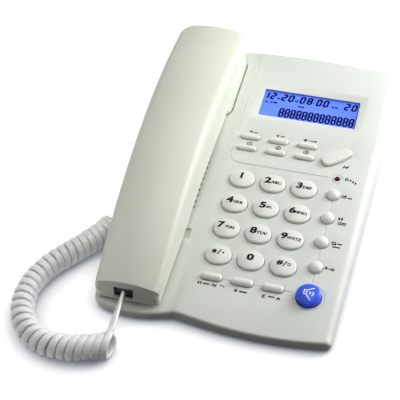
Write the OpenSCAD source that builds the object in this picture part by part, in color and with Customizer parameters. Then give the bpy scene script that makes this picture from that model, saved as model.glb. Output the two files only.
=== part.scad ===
// Corded desk telephone: a wedge-shaped base with a keypad and a display, a handset
// that lies in a cradle along its left side, and a curly cord between the two.
// +X is right, +Y is back, +Z is up. The origin is on the table, under the middle.

/* [Base] */
// Slope of the key panel, degrees
panel_tilt = 10; // [9:0.5:11]
// Height of the panel above the table, half way back
panel_mid_z = 28.3; // [28.1:0.1:30]
// Wall thickness of both housings
wall = 2.2; // [1.8:0.1:2.4]
// Height of the upper housing's skirt, square to the panel
skirt_h = 5.2; // [4.8:0.1:5.4]
// Radius of the panel's side edges
side_round = 5; // [3:0.5:6]
// Radius of the panel's back edge
back_round = 2.2; // [1.5:0.1:4]
// Height of the rubber feet
foot_h = 2; // [1.6:0.1:2.4]
// Radius of the rubber feet
foot_r = 7; // [5:0.5:8]

/* [Keys] */
// Width of a dial key
dial_key_w = 16.2; // [13:0.1:16.5]
// Depth of a dial key
dial_key_d = 14; // [12:0.1:15]
// Distance between dial keys, side to side
dial_pitch_x = 20; // [19.5:0.1:20.5]
// Distance between dial keys, front to back
dial_pitch_y = 20.65; // [20:0.05:21]
// Travel of every key
key_travel = 1.2; // [0.8:0.1:1.3]
// Clearance between a key and the edge of its hole
key_gap = 0.35; // [0.25:0.05:0.5]
// Diameter of the loudspeaker key
talk_key_d = 15.6; // [15:0.1:17]

/* [Display] */
// Width of the display opening
display_w = 66.3; // [60:0.1:67]
// Depth of the display opening, front to back
display_d = 25.7; // [22:0.1:27]
// Depth of the bezel around the display
bezel_drop = 1.6; // [1:0.1:1.8]

/* [Handset] */
// Radius of the arched back
arch_r = 400; // [360:10:440]
// Height of the arch's sides above the panel, at its top
arch_h = 28.8; // [26:0.1:31]
// Rise of the back's rounded top between its two sides
crown_h = 4; // [3:0.1:5]
// Radius of the edge between the back and the sides
back_edge_r = 4.5; // [3.5:0.1:5]
// How much larger that radius is in the middle, where the sides are high
back_edge_swell = 3; // [0:0.5:3.5]
// Wall thickness of the handset's outer shell
shell_t = 2; // [1.6:0.1:2.4]
// Height of the joint between the two shells above the panel
shell_joint_h = 6; // [5.6:0.1:6.4]
// How far the handset is lifted to clear the cradle
handset_lift = 80; // [40:5:120]
// Depth of the two cradle wells
well_depth = 4; // [3.6:0.1:4.2]

/* [Cord] */
// Outer diameter of the curls
coil_d = 15; // [14:0.1:15.4]
// Width of the flat cord
cord_w = 3.5; // [3:0.1:3.6]
// Thickness of the flat cord
cord_t = 2.3; // [2:0.1:2.5]
// Whole curls in the coil
curls = 30; // [26:1:31]

/* [Hidden] */
// Keys: name, kind, centre across and up the panel
DIAL_NAMES = [
    ["key_1", "key_2", "key_3"],
    ["key_4", "key_5", "key_6"],
    ["key_7", "key_8", "key_9"],
    ["key_star", "key_0", "key_hash"]
];
dial_x = -6.7;
dial_v = -3;
dial_keys = [for (row = [0:3]) for (col = [0:2])
    [DIAL_NAMES[row][col], "dial", dial_x + col * dial_pitch_x, dial_v - row * dial_pitch_y]];
menu_keys = [for (row = [0:1]) for (col = [0:2])
    [str("key_menu_", row * 3 + col + 1), "bar", -9.8 + col * 19, 33.6 - row * 10]];
line_x = -6.6;
line_v = -81.6;
line_keys = [for (col = [0:2])
    [["key_hold", "key_flash", "key_redial"][col], "pill", line_x + col * 18.6, line_v]];
side_x = 52.2;
lamp_v = 10.5;
talk_v = -82.2;
side_keys = [for (row = [0:3]) [str("key_side_", row + 1), "dot", side_x, -3.5 - row * 19.2]];
other_keys = [["key_leaf", "leaf", 48.5, 27.8], ["key_speaker", "talk", side_x, talk_v]];
KEYS = concat(dial_keys, menu_keys, line_keys, side_keys, other_keys);

$fn = 64;

// Colours
ivory = [0.90, 0.91, 0.87];
key_ivory = [0.93, 0.93, 0.88];
cord_white = [0.88, 0.89, 0.87];

// Key sizes: width, depth, height above the panel, radius of the domed top
function key_size(kind) =
    kind == "dial" ? [dial_key_w, dial_key_d, 2.6, 26] :
    kind == "bar" ? [12.8, 4, 2.1, 2.6] :
    kind == "pill" ? [13.1, 5, 2.4, 3.2] :
    kind == "dot" ? [8.3, 8.3, 3.3, 5.6] :
    kind == "leaf" ? [20.6, 10.6, 2.6, 40] :
    [talk_key_d, talk_key_d, 4.2, 24];
leaf_angle = 38.5;
// Outline of the leaf key: its left end is the rounder one
function leaf_plan(size) = let (a = size[0] / 2, b = size[1] / 2) [
    [-a, -0.75 * b, 3.6], [0, -b, 36], [a, -0.55 * b, 2.6],
    [a, 0.45 * b, 2.4], [0, b, 30], [-a, 0.67 * b, 3.6]];
flange_out = 1.2;
flange_top = -2.5;
flange_t = 1;

// Stack under the panel, square to it
key_bottom = flange_top - flange_t;
membrane_top = key_bottom - key_travel - 0.2;
membrane_t = 1;
board_top = membrane_top - membrane_t - 0.2;
board_t = 1.6;
lens_t = 1.2;
display_t = board_top + bezel_drop + lens_t;

// Outline of the base seen from above: x, y, corner radius
base_plan = [
    [-72.3, -109, 8], [-47, -115.7, 55], [-22.6, -108.4, 3], [27, -116.3, 228],
    [71.2, -109.8, 4], [75.2, 50, 500], [74.8, 112.4, 9], [20, 115.1, 300],
    [-70, 111.8, 8], [-70, -62, 60]
];
floor_z = foot_h;
floor_top = foot_h + wall;

// Wells of the cradle: left, front, right, back edges along the panel
ear_well = [-66.5, 49.2, -27.3, 106.8];
mouth_well = [-67.6, -107.2, -33.7, -58];
well_corner = 8;
cup_gap = 0.8;
cup_clear = 0.3;
well_floor_t = 1.4;

// Handset: ends along the panel, and its two sides at either end; the left one bows out
handset_front = -109.4;
handset_back = 115;
left_x_front = -70.6;
left_x_back = -76.9;
left_bow = 1.6;
right_x_front = -31.4;
right_x_back = -29.6;
handset_x = -51.6;
handset_screw_v = [45.5, -54];
arch_top_v = 12;
shell_gap = 0.8;

plunger_pos = [-47, 64];
plunger_size = [8, 5];
plunger_travel = 3.5;
plunger_top = -well_depth + cup_clear - 0.05;

slot_count = 10;
slot_pitch = 4.78;
slot_w = 1.6;
slot_left = -61.5;
slot_right = -28.9;
slot_first_v = 11.9;
speaker_v = slot_first_v - (slot_count - 1) * slot_pitch / 2;
speaker_x = -46;

boss_places = [[-21.4, -88], [65.8, -88], [-21.4, 100], [66.5, 98]];
foot_places = [[-58, -97], [57, -99], [60, 86], [-58, 86]];
cell_r = 5.2;
cell_len = 44;
cell_pitch = 11.2;
cell_mid = [20, 25];
cover_t = 2;
cell_z = floor_z + cover_t + cell_r + 0.2;
cover_size = [52.5, 38];
cover_tab = 8;

// Plug and jack sizes of the handset cord
plug_size = [7.7, 12, 6.2];
jack_size = [11.5, 13.5, 7.6];
handset_jack_x = -52.6;
handset_jack_v = -108.2;
handset_jack_w = 6.5;
held_cord = 3.2;
base_jack = [-64.5, -44, 8.4];

// The coil's middle line on the table, from the handset end to the base end
coil_route = [
    [-51, -142.4], [-59, -145.8], [-67.8, -148.6], [-75.5, -149.8], [-84, -149.6], [-92, -147],
    [-101, -140.5], [-108, -130], [-111.2, -117], [-111, -105], [-108.2, -94.5], [-103.3, -84],
    [-96.6, -74.2], [-90.4, -64.8], [-85.1, -55.3], [-81.2, -45.2]
];
curl_r = (coil_d - cord_t) / 2;
rings_per_curl = 8;
last_curl_part = 215;
// The coil is stretched and drawn in most at this share of its length from the base
stretch_at = 0.95;
stretch = 0.13;
draw_in = 0.35;
// How far the first curl's far side is pulled aside, and the turns between which it is
pull = 4;
pull_from = 110;
pull_to = 370;
// How far the first curls lean towards the tail, and the share of the coil that does
lean = 2.4;
lean_share = 0.3;

// ---------------------------------------------------------------- outlines
function unit(v) = v / norm(v);
function flat(p) = [p[0], p[1]];

// Points of the arc that rounds the corner at p between a and b
function corner(a, p, b, r, n) =
    let (u = unit(a - p), w = unit(b - p), half = acos(u * w) / 2,
         c = p + unit(u + w) * r / sin(half),
         s = p + u * r / tan(half) - c, e = p + w * r / tan(half) - c,
         a0 = atan2(s[1], s[0]), turn = atan2(e[1], e[0]) - a0,
         sweep = turn > 180 ? turn - 360 : turn < -180 ? turn + 360 : turn)
    [for (i = [0:n]) c + r * [cos(a0 + sweep * i / n), sin(a0 + sweep * i / n)]];

// An outline with each of its corners rounded by the corner's own radius
function rounded(pts, n = 6) = let (m = len(pts)) [for (i = [0:m - 1])
    each corner(flat(pts[(i + m - 1) % m]), flat(pts[i]), flat(pts[(i + 1) % m]), pts[i][2], n)];

// The same outline, moved inwards all round by d
function inset(pts, d) = let (m = len(pts)) [for (i = [0:m - 1])
    let (a = flat(pts[(i + m - 1) % m]), p = flat(pts[i]), b = flat(pts[(i + 1) % m]),
         u = unit(p - a), w = unit(b - p), nu = [-u[1], u[0]], nw = [-w[1], w[0]],
         q = p + (nu + nw) * d / (1 + nu * nw),
         bends_out = u[0] * w[1] - u[1] * w[0] > 0)
    [q[0], q[1], max(0.5, pts[i][2] + (bends_out ? -d : d))]];

function box_outline(edges, r, grow = 0) = rounded([
    [edges[0] - grow, edges[1] - grow, r + grow], [edges[2] + grow, edges[1] - grow, r + grow],
    [edges[2] + grow, edges[3] + grow, r + grow], [edges[0] - grow, edges[3] + grow, r + grow]]);

module on_panel() translate([0, 0, panel_mid_z]) rotate([panel_tilt, 0, 0]) children();
module at(v) translate([v[0], v[1], 0]) children();

// A slab between two heights, square to the panel
module slab(low, high, length = 300)
    on_panel() translate([-120, -length / 2, low]) cube([240, length, high - low]);

module stadium(w, d) {
    r = min(w, d) / 2;
    if (w > d) {
        translate([(w - d) / 2, 0]) circle(r);
        translate([(d - w) / 2, 0]) circle(r);
        square([w - d, d], center = true);
    } else circle(r);
}

// ---------------------------------------------------------------- base
module base_column(d, low, high)
    translate([0, 0, low]) linear_extrude(high - low) polygon(rounded(inset(base_plan, d)));

// Cuts the panel's edge round between two points, with the base on the line's left
module edge_round(from, to, r) {
    v = to - from;
    proud = 0.04;
    on_panel() translate([from[0], from[1], -r + proud]) rotate(atan2(v[1], v[0])) difference() {
        translate([0, -2, 0]) cube([norm(v), r + 2, r + 2]);
        translate([-1, r, 0]) rotate([0, 90, 0]) cylinder(r = r, h = norm(v) + 2);
    }
}

module upper_skin() difference() {
    intersection() {
        base_column(0, 0, 60);
        slab(-skirt_h, 0);
    }
    edge_round([71.25, -116], [75.2, 58], side_round);
    edge_round([75, 42], [75, 120], side_round);
    edge_round([80, 113.9], [19.9, 116.7], back_round);
    edge_round([20.1, 116.7], [-80, 113.1], back_round);
    edge_round([-70, 120], [-70, -67], 3);
    edge_round([-69.8, -56], [-72.7, -118], 3);
}

module key_outline(kind, grow = 0) {
    size = key_size(kind);
    if (kind == "leaf") rotate(leaf_angle) polygon(rounded(inset(leaf_plan(size), -grow)));
    else stadium(size[0] + 2 * grow, size[1] + 2 * grow);
}

module well_block(edges) translate([0, 0, -well_depth - well_floor_t])
    linear_extrude(well_depth + well_floor_t - 0.5)
    polygon(box_outline(edges, well_corner, 1.8));

module well_clearance(edges) translate([0, 0, -well_depth - well_floor_t - 0.2])
    linear_extrude(well_depth + well_floor_t) polygon(box_outline(edges, well_corner, 2));

module well_space(edges) translate([0, 0, -well_depth])
    linear_extrude(well_depth + 1) polygon(box_outline(edges, well_corner));

// Sloped recess round the display: two crossed wedge-shaped cuts
module bezel_recess() {
    w = display_w / 2;
    d = display_d / 2;
    translate([22.6, 69.3, 0]) intersection() {
        rotate([90, 0, 0]) linear_extrude(60, center = true) polygon([
            [-w, -bezel_drop], [w, -bezel_drop], [w + 5, 0.01], [-w - 5.5, 0.01]]);
        rotate([90, 0, 90]) linear_extrude(90, center = true) polygon([
            [-d, -bezel_drop], [d, -bezel_drop], [d + 5.5, 0.01], [-d - 4.5, 0.01]]);
    }
}

module groove_line(from, to) {
    v = to - from;
    translate([from[0], from[1], -0.4]) rotate(atan2(v[1], v[0]))
        translate([0, -0.3, 0]) cube([norm(v), 0.6, 1]);
}

module grooves() {
    corner_c = [-11.6, 18.6];
    groove_line([-19.6, 18.6], [-19.6, 112]);
    groove_line([-11.6, 10.6], [side_x - 4.4, 10.6]);
    translate([corner_c[0], corner_c[1], -0.4]) linear_extrude(1) intersection() {
        difference() {
            circle(8.3);
            circle(7.7);
        }
        translate([-10, -10]) square(10);
    }
    groove_line([side_x, talk_v], [side_x, lamp_v]);
    groove_line([line_x, line_v], [side_x, line_v]);
    for (ring = [[lamp_v, 3.8], [talk_v, 9.5]])
        translate([side_x, ring[0], -0.4]) linear_extrude(1) difference() {
            circle(ring[1]);
            circle(ring[1] - 0.6);
        }
}

module boss(place, low, r_out, r_bore) at(place) difference() {
    translate([0, 0, low]) cylinder(r = r_out, h = 60);
    translate([0, 0, low - 1]) cylinder(r = r_bore, h = 8);
}

boss_joint_z = floor_top + 1.6;
screw_r = 1.4;

module base_upper_housing() color(ivory) difference() {
    union() {
        difference() {
            upper_skin();
            intersection() {
                base_column(wall, -1, 70);
                slab(-skirt_h - 10, -wall);
            }
        }
        on_panel() {
            well_block(ear_well);
            well_block(mouth_well);
            translate([22.6, 69.3, -wall - 1.6]) linear_extrude(2)
                square([display_w + 6, display_d + 5], center = true);
        }
        intersection() {
            for (place = boss_places) boss(place, boss_joint_z, 3.2, screw_r);
            slab(-60, -wall + 0.5);
        }
    }
    on_panel() {
        well_space(ear_well);
        well_space(mouth_well);
        at(plunger_pos) translate([0, 0, -8]) linear_extrude(8)
            square([plunger_size[0] + 0.8, plunger_size[1] + 0.8], center = true);
        for (i = [0:slot_count - 1])
            translate([(slot_left + slot_right) / 2, slot_first_v - i * slot_pitch, -wall - 1])
                linear_extrude(wall + 2) stadium(slot_right - slot_left, slot_w);
        for (key = KEYS)
            translate([key[2], key[3], -6]) linear_extrude(8) key_outline(key[1], key_gap);
        bezel_recess();
        translate([22.6, 69.3, -8]) linear_extrude(8)
            square([display_w - 1, display_d - 1], center = true);
        translate([22.6, 69.3, -8]) linear_extrude(8 - bezel_drop - 0.6)
            square([display_w + 2.4, display_d + 2.4], center = true);
        translate([side_x, lamp_v, -6]) cylinder(r = 1.8, h = 8);
        translate([-36.5, -52, -1.2]) linear_extrude(3) stadium(17.2, 7.4);
        grooves();
    }
}

module lower_walls() difference() {
    intersection() {
        base_column(0.5, floor_z, 60);
        slab(-90, -skirt_h);
    }
    base_column(wall + 0.3, floor_top, 60);
}

// Pocket in the left wall that the base plug sits back in
bay_size = [14, 9.2];
module bay_block(grow) translate([-75, base_jack[1] - bay_size[0] / 2 - grow, floor_top - grow])
    cube([75 + base_jack[0] + grow, bay_size[0] + 2 * grow, bay_size[1] + 2 * grow]);

module tray_block(grow, low, high)
    translate([cell_mid[0] - cover_size[0] / 2 - grow, cell_mid[1] - cover_size[1] / 2 - grow, low])
    cube([cover_size[0] + 2 * grow, cover_size[1] + 2 * grow, high - low]);

module base_lower_housing() color(ivory) difference() {
    union() {
        lower_walls();
        intersection() {
            bay_block(1.6);
            base_column(0.6, floor_z, 60);
            slab(-90, -skirt_h - 0.2);
        }
        tray_block(1.6, floor_z, cell_z + cell_r + 2);
        translate([tray_end, cell_mid[1] - 6, floor_z]) cube([cover_tab + 1, 12, 8]);
        for (place = boss_places)
            at(place) translate([0, 0, floor_z]) cylinder(r = 4, h = boss_joint_z - floor_z);
        difference() {
            on_panel() at(plunger_pos) translate([-6, -4, -70]) cube([12, 8, 70 - 16.6]);
            translate([-100, -150, -60]) cube([200, 300, 60 + floor_z]);
        }
    }
    bay_block(0);
    on_panel() {
        well_clearance(ear_well);
        well_clearance(mouth_well);
    }
    translate([base_jack[0] - 3, base_jack[1] - jack_size[0] / 2 - 0.2, floor_top + 0.2])
        cube([8, jack_size[0] + 0.4, jack_size[2] + 0.5]);
    difference() {
        tray_block(0, floor_z - 1, cell_z + cell_r + 0.4);
        // Ledges that the cover rests against
        for (side = [-1, 1])
            translate([cell_mid[0], cell_mid[1] + side * (cover_size[1] - 1.2) / 2,
                floor_z + cover_t + 0.7]) cube([cover_size[0], 1.2, 1.4], center = true);
    }
    translate([tray_end - 1, cell_mid[1] - 4.3, floor_z - 1]) cube([cover_tab + 1, 8.6, 1 + cover_t]);
    for (side = [-1, 1]) translate([tray_start - 1.3, cell_mid[1] + side * 10 - 2.3, floor_z + 0.9])
        cube([3, 4.6, cover_t - 0.9]);
    translate([cover_screw_x, cell_mid[1], 0]) cylinder(r = screw_r, h = floor_z + 7);
    for (place = boss_places) at(place) {
        translate([0, 0, -1]) cylinder(r = screw_r + 0.2, h = 20);
        translate([0, 0, -1]) cylinder(r = 3, h = floor_z + 3.6);
    }
    translate([line_jack_x - 6.2, 100, line_jack_z - 5.2]) cube([12.4, 20, 10.4]);
}

tray_start = cell_mid[0] - cover_size[0] / 2;
tray_end = cell_mid[0] + cover_size[0] / 2;
cover_screw_x = tray_end + 4.2;

line_jack_x = 20;
line_jack_z = 13;
line_jack_size = [14, 15, 12];
line_hole = [9.8, 6.6];
module line_jack() color([0.12, 0.12, 0.13]) {
    front_y = 114;
    translate([line_jack_x, front_y, line_jack_z]) difference() {
        union() {
            translate([-6.1, -2, -5.1]) cube([12.2, 2, 10.2]);
            translate([-line_jack_size[0] / 2, -line_jack_size[1], -line_jack_size[2] / 2])
                cube([line_jack_size[0], line_jack_size[1] - 2, line_jack_size[2]]);
        }
        translate([-line_hole[0] / 2, -12, -line_hole[1] / 2])
            cube([line_hole[0], 13, line_hole[1]]);
        translate([-3, -12, -line_hole[1] / 2 - 1.5]) cube([6, 13, 2]);
    }
}

// A jack with its mouth at the origin, facing -Y, and the plug's way along +Y
module jack_body() difference() {
    translate([-jack_size[0] / 2, 0, -jack_size[2] / 2]) cube(jack_size);
    translate([-plug_size[0] / 2 - 0.15, -1, -plug_size[2] / 2 - 0.15])
        cube([plug_size[0] + 0.3, plug_size[1] + 1.3, plug_size[2] + 0.3]);
}

module plug_body() {
    translate([-plug_size[0] / 2, 0, -plug_size[2] / 2 + 1]) cube(plug_size - [0, 0, 1]);
    translate([-1.6, 0, -plug_size[2] / 2]) cube([3.2, 9, 1.01]);
}

module at_base_jack() translate(base_jack) rotate([0, 0, -90]) children();
module at_handset_jack() on_panel()
    translate([handset_jack_x, handset_jack_v, handset_jack_w]) children();

module base_handset_jack() color([0.12, 0.12, 0.13]) at_base_jack() jack_body();
module cord_plug_base() color([0.8, 0.82, 0.8]) at_base_jack() plug_body();
module handset_jack() color([0.12, 0.12, 0.13]) at_handset_jack() jack_body();
// The handset's plug holds the cord's first stretch, out past the shell's end
module cord_plug_handset() color([0.8, 0.82, 0.8]) at_handset_jack() {
    plug_body();
    translate([-cord_t / 2, -held_cord, -cord_w / 2]) cube([cord_t, held_cord + 0.5, cord_w]);
}

module rubber_feet() color([0.25, 0.25, 0.26])
    for (place = foot_places) at(place) cylinder(r = foot_r, h = foot_h);

// A cross-head screw that stands on its head, with the underside of the head at seat
module screw(seat, head_t, tip) {
    translate([0, 0, seat - head_t]) difference() {
        cylinder(r = 2.6, h = head_t);
        translate([-1.8, -0.35, -0.1]) cube([3.6, 0.7, 0.7]);
        translate([-0.35, -1.8, -0.1]) cube([0.7, 3.6, 0.7]);
    }
    translate([0, 0, seat]) cylinder(r = screw_r, h = tip - seat);
}

module housing_screws() color([0.6, 0.6, 0.62]) {
    for (place = boss_places) at(place) screw(floor_z + 2.6, 1.6, boss_joint_z + 4);
    translate([cover_screw_x, cell_mid[1], 0]) screw(floor_z + 1.1, 1, floor_z + 6);
}

module battery_cover() color(ivory) difference() {
    union() {
        tray_block(-0.3, floor_z, floor_z + cover_t);
        translate([tray_end - 1, cell_mid[1] - 4, floor_z]) cube([cover_tab - 0.3, 8, cover_t]);
        for (side = [-1, 1])
            translate([tray_start - 1, cell_mid[1] + side * 10 - 2, floor_z + 1.1])
                cube([3, 4, cover_t - 1.3]);
    }
    translate([cover_screw_x, cell_mid[1], 0]) {
        cylinder(r = screw_r + 0.2, h = 10);
        cylinder(r = 2.9, h = floor_z + 1.1);
    }
}

module battery_cells() color([0.25, 0.35, 0.5]) for (i = [-1:1])
    translate([cell_mid[0] - cell_len / 2, cell_mid[1] + i * cell_pitch, cell_z])
        rotate([0, 90, 0]) {
            cylinder(r = cell_r, h = cell_len - 1);
            cylinder(r = 1.9, h = cell_len);
        }

module battery_contacts() color([0.75, 0.6, 0.3]) for (side = [-1, 1])
    translate([cell_mid[0] + side * (cell_len / 2 + 4), cell_mid[1], cell_z]) {
        cube([0.5, 34, 8], center = true);
        for (i = [-1:1]) translate([side > 0 ? -4 : 0, i * cell_pitch, 0])
            rotate([0, 90, 0]) cylinder(r = 1.6, h = 4);
    }

module display_window() color([0.75, 0.85, 1, 0.5]) on_panel()
    translate([22.6, 69.3, -bezel_drop - 0.6 - lens_t]) linear_extrude(lens_t)
        square([display_w + 2, display_d + 2], center = true);

module display_module() color([0.35, 0.5, 1]) on_panel()
    translate([22.6, 69.3, board_top]) {
        linear_extrude(-bezel_drop - 0.6 - lens_t - board_top)
            square([display_w + 1, display_d + 1.4], center = true);
    }

board_edges = [-17, -92, 61.5, 88];
module main_circuit_board() color([0.1, 0.4, 0.2]) on_panel() {
    translate([0, 0, board_top - board_t]) linear_extrude(board_t)
        polygon(box_outline(board_edges, 2));
    translate([10, 0, board_top - board_t - 2]) cube([14, 14, 2]);
    translate([-5, 45, board_top - board_t - 5]) cylinder(r = 3.5, h = 5);
    translate([35, 42, board_top - board_t - 5]) cylinder(r = 3.5, h = 5);
}

module keypad_membrane() color([0.55, 0.57, 0.58]) on_panel() {
    translate([0, 0, membrane_top - membrane_t]) linear_extrude(membrane_t) difference() {
        polygon(box_outline([-16, -91, 60.5, 50], 2));
        translate([side_x, lamp_v]) circle(3);
    }
    for (key = KEYS) translate([key[2], key[3], membrane_top - membrane_t - 0.2])
        cylinder(r = 1.6, h = 0.3);
}

module in_use_lamp() color([0.6, 0.05, 0.08]) on_panel() translate([side_x, lamp_v, 0]) {
    translate([0, 0, board_top]) cylinder(r = 1.6, h = 0.5 - board_top - 0.7);
    translate([0, 0, board_top]) cylinder(r = 2, h = 1);
    translate([0, 0, -0.2]) difference() {
        sphere(r = 1.6);
        translate([-3, -3, -6]) cube(6);
    }
}

module loudspeaker() color([0.2, 0.2, 0.22]) on_panel() translate([speaker_x, speaker_v, 0]) {
    translate([0, 0, -wall - 3]) difference() {
        cylinder(r = 20, h = 3);
        translate([0, 0, 1]) cylinder(r = 18, h = 3);
    }
    translate([0, 0, -wall - 6.5]) cylinder(r1 = 11, r2 = 18, h = 3.5);
    translate([0, 0, -wall - 10]) cylinder(r = 10, h = 3.5);
}

module hook_plunger() color(ivory) on_panel() at(plunger_pos) {
    flange_z = -well_depth - well_floor_t - plunger_travel - 0.1;
    translate([0, 0, flange_z - 1]) linear_extrude(plunger_top - flange_z + 1)
        square(plunger_size, center = true);
    translate([0, 0, flange_z - 1]) linear_extrude(1)
        square([plunger_size[0] + 3, plunger_size[1] + 3], center = true);
}

module hook_switch() color([0.15, 0.15, 0.16]) on_panel() at(plunger_pos)
    translate([-5, -3.5, -16.6]) cube([10, 7, 6.3]);

// ---------------------------------------------------------------- handset
// Side edge of the arched back, at a place along the handset
function arch_at(v, drop = 0) =
    arch_h - arch_r + sqrt(pow(arch_r - drop, 2) - pow(v - arch_top_v, 2));
function taper(v, front, back) =
    front + (back - front) * (v - handset_front) / (handset_back - handset_front);
function right_at(v) = taper(v, right_x_front, right_x_back);
function left_at(v) = left_x_back + (left_x_front - left_x_back)
    * pow((handset_back - v) / (handset_back - handset_front), left_bow);
function half_w_at(v) = (right_at(v) - left_at(v)) / 2;
function mid_x_at(v) = (right_at(v) + left_at(v)) / 2;
// Radius of the edge between the back and the sides
function back_edge_at(v) = back_edge_r + back_edge_swell * sin(180 * taper(v, 0, 1));

// Half-width of the outline where its ends are rounded: place from the end, cut
front_cut = [[0, 3], [0.4, 1.9], [1, 1], [1.9, 0.3], [3, 0]];
back_cut = [[0, 10], [0.6, 7], [1.8, 4.6], [4, 2.4], [7, 0.9], [10.5, 0]];
stations = concat(
    [for (c = front_cut) [handset_front + c[0], c[1]]],
    [for (i = [1:10]) [handset_front + 3 + i * 19.2, 0]],
    [for (i = [5:-1:0]) [handset_back - back_cut[i][0], back_cut[i][1]]]);

// Half of the shell's section is mirrored: side wall, rounded edge, domed top
function shell_section(v, cut, d, low) =
    let (full = half_w_at(v), b = full - cut - d,
         dome_r = (full * full + crown_h * crown_h) / (2 * crown_h),
         dome_z = arch_at(v) + crown_h - dome_r,
         r = back_edge_at(v), inner_r = dome_r - d, edge_r = r - d,
         edge_z = dome_z + sqrt(pow(inner_r - edge_r, 2) - pow(b - edge_r, 2)),
         a = atan2(edge_z - dome_z, b - edge_r),
         edge = [for (i = [0:3]) [b - edge_r + edge_r * cos(a * i / 3), edge_z + edge_r * sin(a * i / 3)]],
         dome = [for (i = [1:3]) let (t = a + (90 - a) * i / 4)
             [inner_r * cos(t), dome_z + inner_r * sin(t)]],
         half = concat([[b, low]], edge, dome),
         top = [[0, dome_z + inner_r]])
    concat(half, top, [for (i = [len(half) - 1:-1:0]) [-half[i][0], half[i][1]]]);

// Solid through a list of closed rings with the same number of points
module skin(rings) {
    n = len(rings[0]);
    m = len(rings);
    pts = [for (ring = rings) each ring];
    sides = [for (j = [0:m - 2]) for (i = [0:n - 1])
        let (a = j * n + i, b = j * n + (i + 1) % n) each [[a, b, a + n], [b, b + n, a + n]]];
    start = [for (i = [1:n - 2]) [0, i + 1, i]];
    end = [for (i = [1:n - 2]) [(m - 1) * n, (m - 1) * n + i, (m - 1) * n + i + 1]];
    polyhedron(pts, concat(sides, start, end));
}

// Solid of the outer shell, t smaller all round, down to low
module shell_body(t, low) on_panel()
    skin([for (s = stations) [for (p = shell_section(s[0], s[1], t, low))
        [mid_x_at(s[0]) + p[0], taper(s[0], handset_front + t, handset_back - t), p[1]]]]);

// Outline of the handset along the panel, as its sides stand on the joint
handset_plan = concat(
    [for (s = stations) [mid_x_at(s[0]) + half_w_at(s[0]) - s[1], s[0]]],
    [for (i = [len(stations) - 1:-1:0]) let (s = stations[i])
        [mid_x_at(s[0]) - half_w_at(s[0]) + s[1], s[0]]]);

module handset_outer_shell() color(ivory) difference() {
    union() {
        difference() {
            shell_body(0, shell_joint_h);
            shell_body(shell_t, shell_joint_h - 1);
        }
        intersection() {
            on_panel() for (v = handset_screw_v)
                translate([handset_x, v, shell_joint_h]) cylinder(r = 3.4, h = 30);
            shell_body(shell_t / 2, shell_joint_h);
        }
    }
    on_panel() for (v = handset_screw_v)
        translate([handset_x, v, shell_joint_h - 1]) cylinder(r = screw_r, h = 9);
    jack_opening();
}

module jack_opening() on_panel()
    translate([handset_jack_x - jack_size[0] / 2 - 0.2, handset_front - 1,
        handset_jack_w - jack_size[2] / 2 - 0.1])
    cube([jack_size[0] + 0.4, 6, jack_size[2] + 0.3]);

module cup(edges, low, high, d) translate([0, 0, low]) linear_extrude(high - low)
    polygon(box_outline(edges, well_corner - cup_gap, -cup_gap - d));

grip_v = -4;
grip_half = 44;
grip_rise = 2.6;
grip_r = (grip_half * grip_half + grip_rise * grip_rise) / (2 * grip_rise);
cup_bottom = -well_depth + cup_clear;

module inner_shell_pockets() {
    floor_w = shell_gap + 1.8;
    front_len = 58;
    back_v = grip_v + grip_half;
    translate([handset_x - 17.5, handset_front + 2, floor_w]) cube([35, front_len, 6]);
    translate([handset_x - 21.5, back_v, floor_w]) cube([41, handset_back - 7.5 - back_v, 6]);
    translate([handset_x - 18, grip_v - grip_half - 10, shell_gap + grip_rise + 1.6])
        cube([36, 2 * grip_half + 20, 6]);
    for (edges = [ear_well, mouth_well]) {
        cup(edges, cup_bottom + 1.8, shell_gap - 0.5, 1.8);
        cup(edges, shell_gap - 0.6, floor_w + 0.1, 4.6);
    }
}

module handset_inner_shell() color(ivory) on_panel() difference() {
    union() {
        difference() {
            union() {
                translate([0, 0, shell_gap]) linear_extrude(shell_joint_h - shell_gap)
                    polygon(handset_plan);
                cup(ear_well, cup_bottom, shell_gap + 1, 0);
                cup(mouth_well, cup_bottom, shell_gap + 1, 0);
            }
            inner_shell_pockets();
        }
        for (v = handset_screw_v)
            translate([handset_x, v, shell_gap + 1]) cylinder(r = 4.4, h = shell_joint_h - shell_gap - 1);
    }
    translate([-100, grip_v, shell_gap + grip_rise - grip_r]) rotate([0, 90, 0])
        cylinder(r = grip_r, h = 200, $fn = 180);
    for (v = handset_screw_v) translate([handset_x, v, 0]) {
        cylinder(r = screw_r + 0.2, h = 8);
        cylinder(r = 2.8, h = shell_gap + 1.8);
    }
    for (i = [0:5]) at(earpiece_at + 5 * [cos(i * 60), sin(i * 60)])
        translate([0, 0, -9]) cylinder(r = 1, h = 8);
    at(earpiece_at) translate([0, 0, -9]) cylinder(r = 1, h = 8);
    for (i = [-1:1]) at(mouth_at + [i * 3.5, 0]) translate([0, 0, -9]) cylinder(r = 0.9, h = 8);
    translate([handset_jack_x - jack_size[0] / 2 - 0.2, handset_front - 1,
        handset_jack_w - jack_size[2] / 2 - 0.1]) cube([jack_size[0] + 0.4, 6, 6]);
}

earpiece_at = [-46.9, 84];
mouth_at = [-51, -80];
module earpiece_capsule() color([0.3, 0.3, 0.32]) on_panel() at(earpiece_at) {
    translate([0, 0, cup_bottom + 1.8]) cylinder(r = 13.5, h = 5);
    translate([0, 0, cup_bottom + 6.8]) cylinder(r = 8, h = 3);
}
module microphone_capsule() color([0.55, 0.55, 0.57]) on_panel() at(mouth_at)
    translate([0, 0, cup_bottom + 1.8]) cylinder(r = 4.85, h = 4.5);
module handset_weight() color([0.5, 0.5, 0.52]) on_panel()
    translate([handset_x - 12, grip_v - 20, shell_gap + grip_rise + 1.6]) cube([24, 40, 6]);

module handset_screws() color([0.6, 0.6, 0.62]) on_panel() for (v = handset_screw_v)
    translate([handset_x, v, 0]) screw(shell_gap + 1.8, 1.4, shell_joint_h + 6);

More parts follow.
